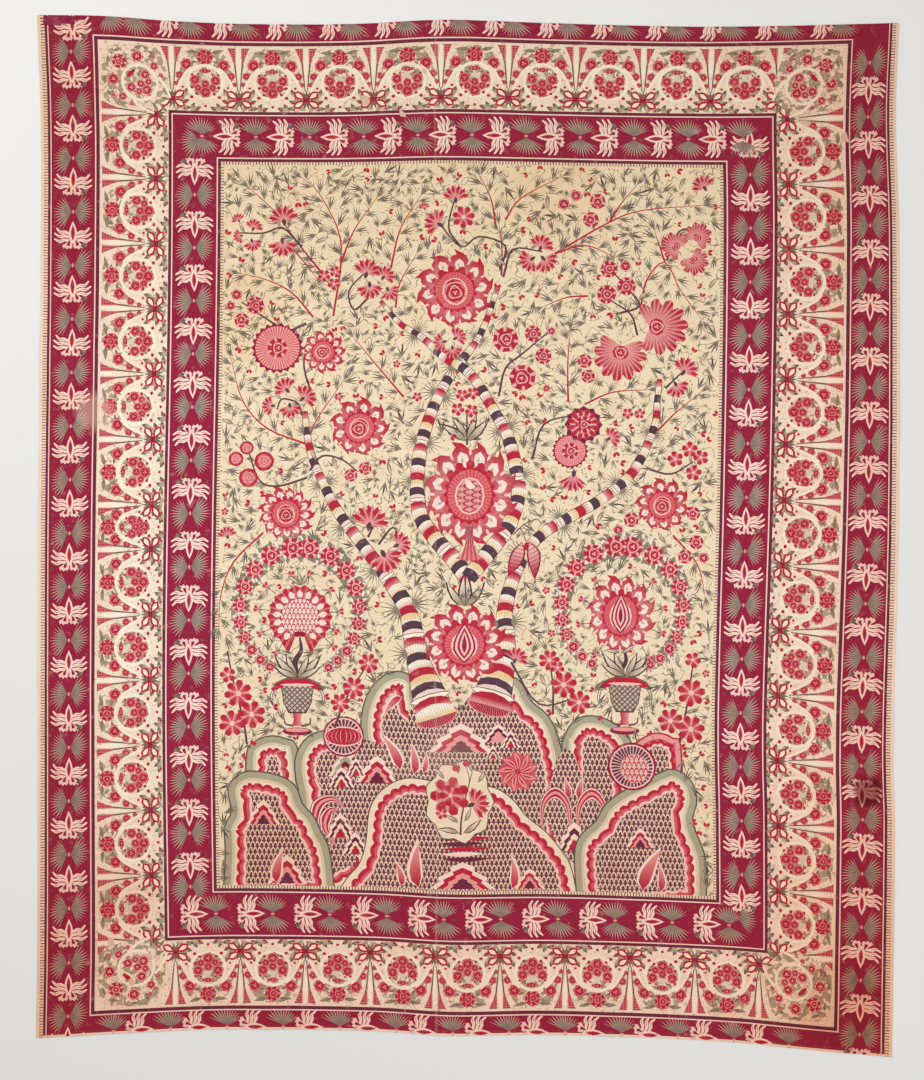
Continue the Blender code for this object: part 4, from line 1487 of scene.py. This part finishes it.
# The rim: the sides that only one triangle has, joined end to end.
sides = np.concatenate([faces[:, [0, 1]], faces[:, [1, 2]], faces[:, [2, 0]]])
held = {tuple(side) for side in sides.tolist()}
following = {a: b for a, b in held if (b, a) not in held}
rim = [min(following)]
while following[rim[-1]] != rim[0]:
    rim.append(following[rim[-1]])
rim_sides = [(k, (k + 1) % len(rim)) for k in range(len(rim))]
under_plan, under_faces = cut_up(np.concatenate([plan[rim], grid(UNDER_SPACING)]), rim_sides)
under_faces = under_faces[inside(plan[rim], under_plan[under_faces].mean(axis=1))]

used = np.unique(faces)
renumber = np.full(len(plan), -1)
renumber[used] = np.arange(len(used))
top_places = lay(plan[used])
under_places = lay(under_plan)
hem_height = HEM_EXTRA * (np.abs(plan[used].imag) > HALF_LENGTH - HEM_WIDTH - 0.0005)
heights = np.concatenate([lift(top_places) + CLOTH_THICKNESS + hem_height, lift(under_places)])
points = np.column_stack([np.concatenate([top_places, under_places]), heights])
under_start = len(used)
rim_top = renumber[rim]
rim_under = under_start + np.arange(len(rim))
rim_top_next, rim_under_next = np.roll(rim_top, -1), np.roll(rim_under, -1)
all_faces = np.concatenate([
    renumber[faces],
    under_start + under_faces[:, ::-1],
    np.column_stack([rim_under, rim_under_next, rim_top_next]),
    np.column_stack([rim_under, rim_top_next, rim_top]),
])
mesh = bpy.data.meshes.new("dyed_cloth")
mesh.from_pydata(points.tolist(), [], all_faces.tolist())

# What the dyer did at each corner of each triangle. The underside and the rim show bare cotton,
# with the dyes come through faintly.
rows = np.array(drawing_rows)
corner_shape = np.repeat(tops, 3)
corner_point = plan[faces].ravel()
chosen = rows[corner_shape]
start = chosen[:, 9] + 1j * chosen[:, 10]
reach = chosen[:, 11] + 1j * chosen[:, 12]
stroke = (corner_point - start) / reach
plain_corners = 3 * (len(all_faces) - len(faces))
BACK = dye(228, 200, 176)
HAND_SHAKE = 0.0035


def store(name, kind, values, plain):
    """Writes an attribute on the face's corners, with one plain value for underside and rim."""
    full = np.concatenate([values, np.tile(plain, (plain_corners, 1))]).astype(np.float32)
    mesh.attributes.new(name, kind, "CORNER").data.foreach_set(
        "color" if kind == "FLOAT_COLOR" else "vector", full.ravel())


shake = HAND_SHAKE / np.abs(reach)
one = np.ones((len(chosen), 1))
store("dye", "FLOAT_COLOR", np.hstack([chosen[:, 0:3], one]), (*BACK, 1.0))
store("edge", "FLOAT_COLOR", np.hstack([chosen[:, 3:6], one]), (*BACK, 1.0))
store("line", "FLOAT_COLOR", np.hstack([chosen[:, 6:9], one]), (*BACK, 1.0))
store("stroke", "FLOAT_VECTOR", np.column_stack([stroke.real, stroke.imag, shake]), (0, 0, 0))
store("work", "FLOAT_VECTOR", chosen[:, 13:16], (0, 0, 0))

# A flat map of the cloth: its face as drawn, its underside small beside it, its rim in rows above.
MAP_SCALE = 0.98 / (2 * HALF_LENGTH)
UNDER_SCALE = 0.15 / (2 * HALF_WIDTH)
FACE_CORNER = 0.005 + 0.01j
UNDER_CORNER = 0.84 + 0.01j
RIM_CORNER = 0.84 + 0.25j
RIM_ROWS = 8
ROW_LONG = 0.72
ROW_PITCH = 0.018
ROW_HIGH = 0.016
ground = HALF_WIDTH + 1j * HALF_LENGTH
under_map = (under_plan[under_faces[:, ::-1]].ravel() + ground) * UNDER_SCALE + UNDER_CORNER
per_row = -(-len(rim) // RIM_ROWS)
row, place = np.divmod(np.arange(len(rim)), per_row)
near = RIM_CORNER.real + ROW_PITCH * row + 1j * (RIM_CORNER.imag + ROW_LONG / per_row * place)
step = 1j * ROW_LONG / per_row
low_half = np.column_stack([near, near + step, near + step + ROW_HIGH]).ravel()
high_half = np.column_stack([near, near + step + ROW_HIGH, near + ROW_HIGH]).ravel()
flat_map = np.concatenate([(corner_point + ground) * MAP_SCALE + FACE_CORNER, under_map, low_half,
                           high_half])
mesh.uv_layers.new(name="OFBake").data.foreach_set(
    "uv", np.column_stack([flat_map.real, flat_map.imag]).astype(np.float32).ravel())
panel = bpy.data.objects.new("dyed_cloth", mesh)
bpy.context.scene.collection.objects.link(panel)

# --------------------------------------
# The cloth's finish. Plain-woven cotton, brushed with mordants and resists and dyed in madder, so
# every colour is a little uneven; it is also darker and browner towards its foot and its sides.


class Value:
    """One socket of a material's node tree. Sums on it add the nodes that work them out."""

    tree = None

    def __init__(self, socket):
        self.socket = socket

    @classmethod
    def node(cls, kind, settings=(), inputs=(), output=0):
        """Adds any node: first its settings, then the values or links of its sockets."""
        node = cls.tree.nodes.new(kind)
        for key, value in dict(settings).items():
            if key == "stops":
                ramp = node.color_ramp
                while len(ramp.elements) < len(value):
                    ramp.elements.new(0.5)
                for element, (place, colour) in zip(ramp.elements, value):
                    element.position = place
                    element.color = (*colour, 1.0)
            else:
                setattr(node, key, value)
        for key, value in dict(inputs).items():
            if isinstance(value, Value):
                cls.tree.links.new(value.socket, node.inputs[key])
            else:
                node.inputs[key].default_value = value
        return cls(node.outputs[output])

    def math(self, operation, *others):
        inputs = {k: other for k, other in enumerate((self, *others))}
        return Value.node("ShaderNodeMath", {"operation": operation}, inputs)

    def __add__(self, other):
        return self.math("ADD", other)

    def __sub__(self, other):
        return self.math("SUBTRACT", other)

    def __mul__(self, other):
        return self.math("MULTIPLY", other)

    def __truediv__(self, other):
        return self.math("DIVIDE", other)

    def __rsub__(self, other):
        return (self * -1.0) + other

    __radd__ = __add__
    __rmul__ = __mul__

    def fit(self, low, high, to_low=0.0, to_high=1.0):
        """The value moved smoothly from one range to another, and held at the ends."""
        inputs = {"Value": self, "From Min": low, "From Max": high, "To Min": to_low, "To Max": to_high}
        return Value.node("ShaderNodeMapRange", {"interpolation_type": "SMOOTHSTEP"}, inputs)

    def is_pen(self, pen):
        return self.math("COMPARE", float(pen), 0.25)

    def ruled(self, width=0.30):
        """Fine lines at every whole step of the value."""
        return (self.math("PINGPONG", 0.5)).fit(width * 0.3, width * 0.75, 1.0, 0.0)


def blend(amount, first, second, how="MIX"):
    """Two colours mixed, or one laid over the other."""
    return Value.node("ShaderNodeMix", {"data_type": "RGBA", "blend_type": how},
                      {0: amount, 6: first, 7: second}, 2)


def colour_of(name):
    return Value.node("ShaderNodeAttribute", {"attribute_name": name})


def parts_of(vector):
    """The X, Y and Z of a vector."""
    split = Value.node("ShaderNodeSeparateXYZ", inputs={0: vector})
    return [Value(socket) for socket in split.socket.node.outputs]


def noise(place, scale, detail=2.0, roughness=0.5):
    inputs = {"Vector": place, "Scale": scale, "Detail": detail, "Roughness": roughness}
    return Value.node("ShaderNodeTexNoise", inputs=inputs)


def warped(place, by):
    """A place moved about by soft noise."""
    push = Value.node("ShaderNodeTexNoise", inputs={"Vector": place, "Scale": 60.0, "Detail": 1.0}, output=1)
    push = Value.node("ShaderNodeVectorMath", {"operation": "SUBTRACT"}, {0: push, 1: (0.5, 0.5, 0.5)})
    push = Value.node("ShaderNodeVectorMath", {"operation": "SCALE"}, {0: push, "Scale": by})
    return Value.node("ShaderNodeVectorMath", {"operation": "ADD"}, {0: place, 1: push})


def new_finish(name, roughness):
    """An empty cloth finish: its tree, ready for Value, and its shader."""
    material = bpy.data.materials.new(name)
    material.use_nodes = True
    Value.tree = material.node_tree
    shader = material.node_tree.nodes["Principled BSDF"]
    shader.inputs["Roughness"].default_value = roughness
    shader.inputs["Specular IOR Level"].default_value = 0.25
    return material, shader


SCALE_SQUAT = 0.75
THREAD_SPACING = 0.0011
WEAVE_DEPTH = 0.00035
WARM_BROWN = dye(238, 200, 180)
GREY_TINT = dye(238, 232, 224)
PALE_PINK = dye(232, 196, 178)

# Old stains and rubbed places, each with its middle, its reach, its depth, its colour, and whether
# it darkens the dyes or pales them.
Stain = namedtuple("Stain", "x y reach depth colour way")
STAINS = (
    Stain(1.131, -0.722, 0.045, 0.85, dye(150, 60, 70), "MULTIPLY"),
    Stain(-1.050, 0.350, 0.055, 0.35, PALE_PINK, "MIX"),
    Stain(-0.050, -0.620, 0.090, 0.12, PALE_PINK, "MIX"),
    Stain(-0.640, 0.620, 0.130, 0.30, dye(240, 220, 190), "MULTIPLY"),
    Stain(0.240, 0.980, 0.150, 0.25, dye(240, 218, 194), "MULTIPLY"),
    Stain(-0.560, -0.860, 0.120, 0.35, dye(240, 216, 184), "MULTIPLY"),
    Stain(1.050, -1.330, 0.130, 0.40, dye(230, 200, 184), "MULTIPLY"),
    Stain(-0.960, -1.020, 0.100, 0.40, dye(234, 206, 190), "MULTIPLY"),
)


def weave(place, spacing):
    """The height of plain weave: threads over and under, from 0 in the gaps to 1 on a crossing."""
    x, y, _ = parts_of(place)
    warp = (x / spacing).math("PINGPONG", 0.5) * 2.0
    weft = (y / spacing).math("PINGPONG", 0.5) * 2.0
    over = ((x / spacing).math("FLOOR") + (y / spacing).math("FLOOR")).math("PINGPONG", 1.0)
    return warp * (0.45 + over * 0.55) + weft * (1.0 - over * 0.55)


def shaded_to(shader, socket, value):
    Value.tree.links.new(value.socket, shader.inputs[socket])


dyed, shader = new_finish("dyed_cotton_face", 0.9)
place = Value.node("ShaderNodeTexCoord", output=3)
wander = noise(place, 160.0, 1.0)
stroke_x, stroke_y, unsteady = parts_of(Value.node("ShaderNodeAttribute", {"attribute_name": "stroke"},
                                                   output=1))
pen, count, strength = parts_of(Value.node("ShaderNodeAttribute", {"attribute_name": "work"}, output=1))
shaken = (wander - 0.5) * unsteady
stroke_x = stroke_x + shaken
stroke_y = stroke_y + shaken
radius = (stroke_x * stroke_x + stroke_y * stroke_y).math("SQRT")
bearing = stroke_y.math("ARCTAN2", stroke_x) / (2 * math.pi)
round_pen = pen.is_pen(RAYS) + pen.is_pen(PETALS)
shade = (radius * round_pen + stroke_x * (1.0 - round_pen)).fit(0.0, 1.0)
petal_arch = (bearing * 3.0 + (radius * count).math("FLOOR") * 0.5).math("PINGPONG", 0.5)
steps = (
    pen.is_pen(VEINS) * (stroke_y * count)
    + pen.is_pen(BARS) * (stroke_x * count)
    + pen.is_pen(RAYS) * (bearing * count)
    + pen.is_pen(PETALS) * (radius * count - petal_arch * 0.8)
    + pen.is_pen(LATTICE) * ((stroke_x + stroke_y) * count)
)
lines = steps.ruled()
cross_lines = ((stroke_x - stroke_y) * count).ruled()
scale_rise = stroke_y * count * SCALE_SQUAT
scale_row = scale_rise.math("FLOOR")
scale_x = (stroke_x * count + scale_row * 0.5).math("FRACT") - 0.5
scale_y = scale_rise.math("FRACT")
scale_edge = (scale_x * scale_x * 1.6 + scale_y * scale_y * 0.5).math("SQRT")
scales = 1.0 - scale_edge.fit(0.38, 0.45) * scale_edge.fit(0.58, 0.66, 1.0, 0.0)
drawn = pen.is_pen(PLAIN)
leafy = pen.is_pen(FOLIAGE)
leaf_place = warped(place, 0.006)
leaf_cells = Value.node("ShaderNodeTexVoronoi", {"feature": "DISTANCE_TO_EDGE"},
                        {"Vector": leaf_place, "Scale": count})
leaf_tint = Value.node("ShaderNodeTexVoronoi", inputs={"Vector": leaf_place, "Scale": count}, output=1)
leaf_tint, _, _ = parts_of(leaf_tint)
shade = shade * (1.0 - leafy) + leaf_tint.fit(0.56, 0.66) * leafy
leaf_lines = leaf_cells.fit(0.03, 0.09, 1.0, 0.0) * leaf_tint.fit(0.30, 0.50, 0.35, 1.0)
inked = (lines * (1.0 - pen.is_pen(SCALES) - leafy)).math("MAXIMUM", cross_lines * pen.is_pen(LATTICE))
inked = inked.math("MAXIMUM", leaf_lines * leafy)
curls = noise(place, count, 1.0)
curls = (curls - 0.5).math("ABSOLUTE").fit(0.010, 0.020, 1.0, 0.0) * noise(place, 31.0, 1.0).fit(0.44, 0.48)
fleck_place = warped(place, 0.012)
flecks = Value.node("ShaderNodeTexVoronoi", inputs={"Vector": fleck_place, "Scale": 70.0})
flecks = flecks.fit(0.17, 0.25, 1.0, 0.0) * noise(place, 45.0, 1.0).fit(0.48, 0.52)
strewn = pen.is_pen(TENDRILS)
inked = (inked * (1.0 - strewn)).math("MAXIMUM", curls.math("MAXIMUM", flecks) * strewn)
inked = inked.math("MAXIMUM", scales * pen.is_pen(SCALES)) * strength * (1.0 - drawn)
colour = blend(shade, colour_of("dye"), colour_of("edge"))
colour = blend(inked, colour, colour_of("line"))

# The dye sits unevenly, thread by thread and bath by bath, and has been rubbed away in places.
thread = noise(place, 900.0, 1.0)
cloudy = noise(place, 9.0, 3.0, 0.6)
rubbed = noise(place, 38.0, 4.0, 0.65)
colour = blend(rubbed.fit(0.56, 0.80, 0.0, 0.40), colour, (*PALE_PINK, 1.0))
colour = blend(thread.fit(0.25, 0.75, 0.0, 0.30), colour, (0.55, 0.50, 0.47, 1.0), "MULTIPLY")
colour = blend(cloudy.fit(0.35, 0.75, 0.0, 0.22), colour, (*WARM_BROWN, 1.0), "MULTIPLY")
x, y, _ = parts_of(place)
# Darker and browner towards the foot and towards both sides.
foot = y.fit(-1.5, -0.2, 1.0, 0.0) * 0.55 + (x + 0.12).math("ABSOLUTE").fit(0.7, 1.25, 0.0, 0.45)
colour = blend(foot, colour, (*WARM_BROWN, 1.0), "MULTIPLY")
for stain in STAINS:
    away = ((x - stain.x) * (x - stain.x) + (y - stain.y) * (y - stain.y)).math("SQRT") / stain.reach
    away = away + (noise(place, 25.0, 3.0) - 0.5) * 0.9
    colour = blend(away.fit(0.6, 1.2, stain.depth, 0.0), colour, (*stain.colour, 1.0), stain.way)
# Paler along a thin line down the fold just left of the middle.
crease = (x + 0.09 + (noise(place, 1.5, 1.0) - 0.5) * 0.03).math("ABSOLUTE").fit(0.0008, 0.0045, 0.16, 0.0)
colour = blend(crease, colour, (*PALE_PINK, 1.0))
# Greyer and a little darker towards the head.
head = y.fit(0.2, 1.35)
colour = blend(head, colour, (*GREY_TINT, 1.0), "MULTIPLY")
height = weave(place, THREAD_SPACING)
shaded_to(shader, "Base Color", colour)
shaded_to(shader, "Roughness", rubbed.fit(0.3, 0.8, 0.86, 0.96))
bump = Value.node("ShaderNodeBump", inputs={"Strength": 0.55, "Distance": WEAVE_DEPTH, "Height": height})
shaded_to(shader, "Normal", bump)
mesh.materials.append(dyed)

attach(panel, "root")
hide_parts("panel")

# --------------------------------------
# The scrap of dark red cotton sewn over the top left corner, where a tie or a tear was.

PATCH_THICKNESS = 0.0009
PATCH_GAP = 0.0004
PATCH_SPACING = 0.0025
FRAY = 0.00035
PUCKER = 0.0005
PATCH_THREAD_SPACING = 0.0008
PATCH_WEAVE_DEPTH = 0.00025
PATCH_SEED = 7
PATCH_RED = dye(134, 26, 60)
PATCH_FADED = dye(172, 78, 98)

patch_hand = np.random.default_rng(PATCH_SEED)
patch_low, patch_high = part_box("corner_patch")
cut = np.unique(np.round([v.co[:2] for v in frame["nodes"]["corner_patch"].data.vertices], 5), axis=0)
cut = cut[:, 0] + 1j * cut[:, 1]
middle = complex(patch_low.x + patch_high.x, patch_low.y + patch_high.y) / 2
cut = cut[np.argsort(np.angle(cut - middle))]
patch_edge = evened(cut, PATCH_SPACING / 2)
patch_edge = patch_edge + patch_hand.normal(0, FRAY, len(patch_edge))
patch_edge = patch_edge + 1j * patch_hand.normal(0, FRAY, len(patch_edge))
columns = np.arange(patch_low.x + 0.002, patch_high.x - 0.001, PATCH_SPACING)
rows_up = np.arange(patch_low.y + 0.002, patch_high.y - 0.001, PATCH_SPACING)
loose = (columns[:, None] + 1j * rows_up).ravel()
loose = loose[inside(patch_edge, loose)]
around = [(k, (k + 1) % len(patch_edge)) for k in range(len(patch_edge))]
patch_plan, patch_faces = cut_up(np.concatenate([patch_edge, loose]), around)
patch_faces = patch_faces[inside(patch_edge, patch_plan[patch_faces].mean(axis=1))]
flat_places = np.column_stack([patch_plan.real, patch_plan.imag])
pucker = PUCKER * (1 + np.sin(260 * patch_plan.real) * np.sin(410 * patch_plan.imag + 60 * patch_plan.real))
bed = lift(flat_places) + CLOTH_THICKNESS + HEM_EXTRA + PATCH_GAP
layers = [np.column_stack([flat_places, height]) for height in (bed, bed + PATCH_THICKNESS + pucker)]
top_start = len(patch_plan)
patch_mesh = bpy.data.meshes.new("corner_patch_cloth")
patch_mesh.from_pydata(np.concatenate(layers).tolist(), [], [
    *patch_faces[:, ::-1].tolist(),
    *(patch_faces + top_start).tolist(),
    *((a, b, b + top_start, a + top_start) for a, b in around),
])
patch = bpy.data.objects.new("corner_patch_cloth", patch_mesh)
bpy.context.scene.collection.objects.link(patch)

patch_dyed, shader = new_finish("patch_cotton_face", 0.88)
place = Value.node("ShaderNodeTexCoord", output=3)
colour = blend(noise(place, 60.0, 3.0).fit(0.35, 0.75, 0.0, 0.55), (*PATCH_RED, 1.0), (*PATCH_FADED, 1.0))
colour = blend(noise(place, 900.0, 1.0).fit(0.25, 0.75, 0.0, 0.35), colour, (0.50, 0.42, 0.44, 1.0),
               "MULTIPLY")
shaded_to(shader, "Base Color", colour)
shaded_to(shader, "Roughness", noise(place, 90.0, 2.0).fit(0.3, 0.7, 0.82, 0.94))
height = weave(place, PATCH_THREAD_SPACING)
patch_weave = Value.node("ShaderNodeBump",
                         inputs={"Strength": 0.6, "Distance": PATCH_WEAVE_DEPTH, "Height": height})
shaded_to(shader, "Normal", patch_weave)
patch_mesh.materials.append(patch_dyed)
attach(patch, "root")
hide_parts("corner_patch")

# --------------------------------------
# The sewing. A running stitch in faded red thread holds the turned hems at the top and the bottom,
# and a closer one in dark red holds the patch. Both were worked by hand, so no stitch is quite even.

HEM_STITCH_IN = 0.0115
HEM_ENDS_IN = 0.012
HEM_STATIONS = 240
HEM_PITCH = 0.0085
HEM_STITCH = (0.0052, 0.0011, 0.0007)
PATCH_STITCH_IN = 0.0022
PATCH_STITCH_UP = 0.0006
PATCH_STATION = 0.002
PATCH_PITCH = 0.0044
PATCH_STITCH = (0.0026, 0.0008, 0.0006)
THREAD_FADED = dye(188, 84, 96)
THREAD_RED = dye(112, 24, 48)
STITCH_SEED = 3


def stitch_tree():
    """Stitches set along a path: its pitch, the size of one stitch, its thread and its seed."""
    tree = bpy.data.node_groups.new("running_stitch", "GeometryNodeTree")
    named = {}
    for name, kind in (("Path", "NodeSocketGeometry"), ("Pitch", "NodeSocketFloat"),
                       ("Stitch", "NodeSocketVector"), ("Thread", "NodeSocketMaterial"),
                       ("Seed", "NodeSocketInt")):
        named[name] = tree.interface.new_socket(name, in_out="INPUT", socket_type=kind).identifier
    tree.interface.new_socket("Sewn", in_out="OUTPUT", socket_type="NodeSocketGeometry")

    def add(kind, settings=(), **inputs):
        node = tree.nodes.new(kind)
        for key, value in dict(settings).items():
            setattr(node, key, value)
        for key, value in inputs.items():
            socket = node.inputs[key.replace("_", " ")]
            if isinstance(value, bpy.types.NodeSocket):
                tree.links.new(value, socket)
            else:
                socket.default_value = value
        return node

    given = add("NodeGroupInput").outputs
    evenly_set = add("GeometryNodeResampleCurve", {"mode": "LENGTH"}, Curve=given["Path"],
                     Length=given["Pitch"])
    capsule = add("GeometryNodeMeshUVSphere", Segments=6, Rings=4, Radius=0.5)
    along = add("FunctionNodeAlignRotationToVector", {"axis": "X"},
                Vector=add("GeometryNodeInputTangent").outputs[0])
    uneven = add("FunctionNodeRandomValue", {"data_type": "FLOAT_VECTOR"}, Seed=given["Seed"])
    uneven.inputs[0].default_value = (0.80, 0.90, 0.90)
    uneven.inputs[1].default_value = (1.15, 1.10, 1.10)
    size = add("ShaderNodeVectorMath", {"operation": "MULTIPLY"})
    tree.links.new(given["Stitch"], size.inputs[0])
    tree.links.new(uneven.outputs[0], size.inputs[1])
    sewn = add("GeometryNodeInstanceOnPoints", Points=evenly_set.outputs[0], Instance=capsule.outputs[0],
               Rotation=along.outputs[0], Scale=size.outputs[0])
    real = add("GeometryNodeRealizeInstances", Geometry=sewn.outputs[0])
    thread = add("GeometryNodeSetMaterial", Geometry=real.outputs[0], Material=given["Thread"])
    tree.links.new(thread.outputs[0], add("NodeGroupOutput").inputs[0])
    return tree, named


running_stitch, named = stitch_tree()


def spun(name, colour):
    """Cotton thread: slightly uneven, with the twist of its plies."""
    finish, shader = new_finish(name, 0.8)
    place = Value.node("ShaderNodeTexCoord", output=3)
    x, y, _ = parts_of(place)
    twist = ((x + y) * 1800.0).math("PINGPONG", 0.5) * 2.0
    tint = blend(noise(place, 300.0, 2.0).fit(0.3, 0.7, 0.0, 0.5), (*colour, 1.0), (0.45, 0.38, 0.36, 1.0),
                 "MULTIPLY")
    shaded_to(shader, "Base Color", tint)
    plies = Value.node("ShaderNodeBump", inputs={"Strength": 0.5, "Distance": 0.0002, "Height": twist})
    shaded_to(shader, "Normal", plies)
    return finish


def sew(name, paths, heights, pitch, stitch, thread, closed):
    """Runs stitches along flat paths laid at their heights, as one plain mesh."""
    curve = bpy.data.curves.new(name + "_path", "CURVE")
    curve.dimensions = "3D"
    for path, height in zip(paths, heights):
        spline = curve.splines.new("POLY")
        spline.points.add(len(path) - 1)
        places = np.column_stack([path.real, path.imag, height, np.ones(len(path))])
        spline.points.foreach_set("co", places.ravel())
        spline.use_cyclic_u = closed
    guide = bpy.data.objects.new(name + "_path", curve)
    bpy.context.scene.collection.objects.link(guide)
    rows = guide.modifiers.new("rows", "NODES")
    rows.node_group = running_stitch
    rows[named["Pitch"]] = pitch
    rows[named["Stitch"]] = stitch
    rows[named["Thread"]] = thread
    rows[named["Seed"]] = STITCH_SEED
    graph = bpy.context.evaluated_depsgraph_get()
    made = bpy.data.meshes.new_from_object(guide.evaluated_get(graph), depsgraph=graph)
    guide.modifiers.remove(rows)
    bpy.data.objects.remove(guide)
    made.name = name
    sewing = bpy.data.objects.new(name, made)
    bpy.context.scene.collection.objects.link(sewing)
    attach(sewing, "root")
    return sewing


across_plan = np.linspace(-HALF_WIDTH + HEM_ENDS_IN, HALF_WIDTH - HEM_ENDS_IN, HEM_STATIONS)
hem_paths = [lay(across_plan + 1j * side * (HALF_LENGTH - HEM_STITCH_IN)) for side in (1, -1)]
hem_heights = [lift(path) + CLOTH_THICKNESS + HEM_EXTRA for path in hem_paths]
hem_sewing = sew("hem_stitches", [path[:, 0] + 1j * path[:, 1] for path in hem_paths], hem_heights,
                 HEM_PITCH, HEM_STITCH, spun("hem_thread", THREAD_FADED), False)
patch_path = evened(cut, PATCH_STATION)
side_way = np.roll(patch_path, -1) - np.roll(patch_path, 1)
patch_path = patch_path + 1j * side_way / np.abs(side_way) * PATCH_STITCH_IN
patch_places = np.column_stack([patch_path.real, patch_path.imag])
patch_bed = lift(patch_places) + CLOTH_THICKNESS + HEM_EXTRA + PATCH_GAP
patch_sewing = sew("patch_stitches", [patch_path], [patch_bed + PATCH_THICKNESS + PATCH_STITCH_UP],
                   PATCH_PITCH, PATCH_STITCH, spun("patch_thread", THREAD_RED), True)

# --------------------------------------
# The studio: a plain pale floor, two large soft lamps high on either side, and a camera straight
# above the middle of the cloth, far enough off that its edges stay true.

floor_mesh = bpy.data.meshes.new("pale_floor")
floor_mesh.from_pydata([(-9, -9, 0), (9, -9, 0), (9, 9, 0), (-9, 9, 0)], [], [(0, 1, 2, 3)])
floor = bpy.data.objects.new("pale_floor", floor_mesh)
bpy.context.scene.collection.objects.link(floor)
pale, shader = new_finish("pale_floor", 0.9)
shader.inputs["Base Color"].default_value = (0.72, 0.71, 0.69, 1.0)
floor_mesh.materials.append(pale)

world = bpy.data.worlds.new("studio")
bpy.context.scene.world = world
world.use_nodes = True
world.node_tree.nodes["Background"].inputs["Color"].default_value = (1.0, 1.0, 1.0, 1.0)
world.node_tree.nodes["Background"].inputs["Strength"].default_value = 0.55


def softbox(name, place, aim, size, power):
    """A large soft lamp that looks at a point."""
    lamp = bpy.data.lights.new(name, "AREA")
    lamp.shape = "SQUARE"
    lamp.size = size
    lamp.energy = power
    holder = bpy.data.objects.new(name, lamp)
    bpy.context.scene.collection.objects.link(holder)
    holder.location = place
    holder.rotation_euler = (Vector(aim) - Vector(place)).to_track_quat("-Z", "Y").to_euler()


softbox("key_softbox", (-2.6, 2.4, 4.6), (0, 0, 0), 3.0, 160)
softbox("fill_softbox", (2.8, -1.6, 4.8), (0, 0, 0), 3.0, 90)

CAMERA_HEIGHT = 6.4
SEEN_HEIGHT = 3.046
camera_data = bpy.data.cameras.new("camera")
camera_data.sensor_fit = "VERTICAL"
camera_data.sensor_height = 24.0
camera_data.lens = 24.0 * CAMERA_HEIGHT / SEEN_HEIGHT
camera = bpy.data.objects.new("camera", camera_data)
camera.location = (-0.0155, -0.0113, CAMERA_HEIGHT)
bpy.context.scene.collection.objects.link(camera)
bpy.context.scene.camera = camera
bpy.context.scene.view_settings.view_transform = "Standard"
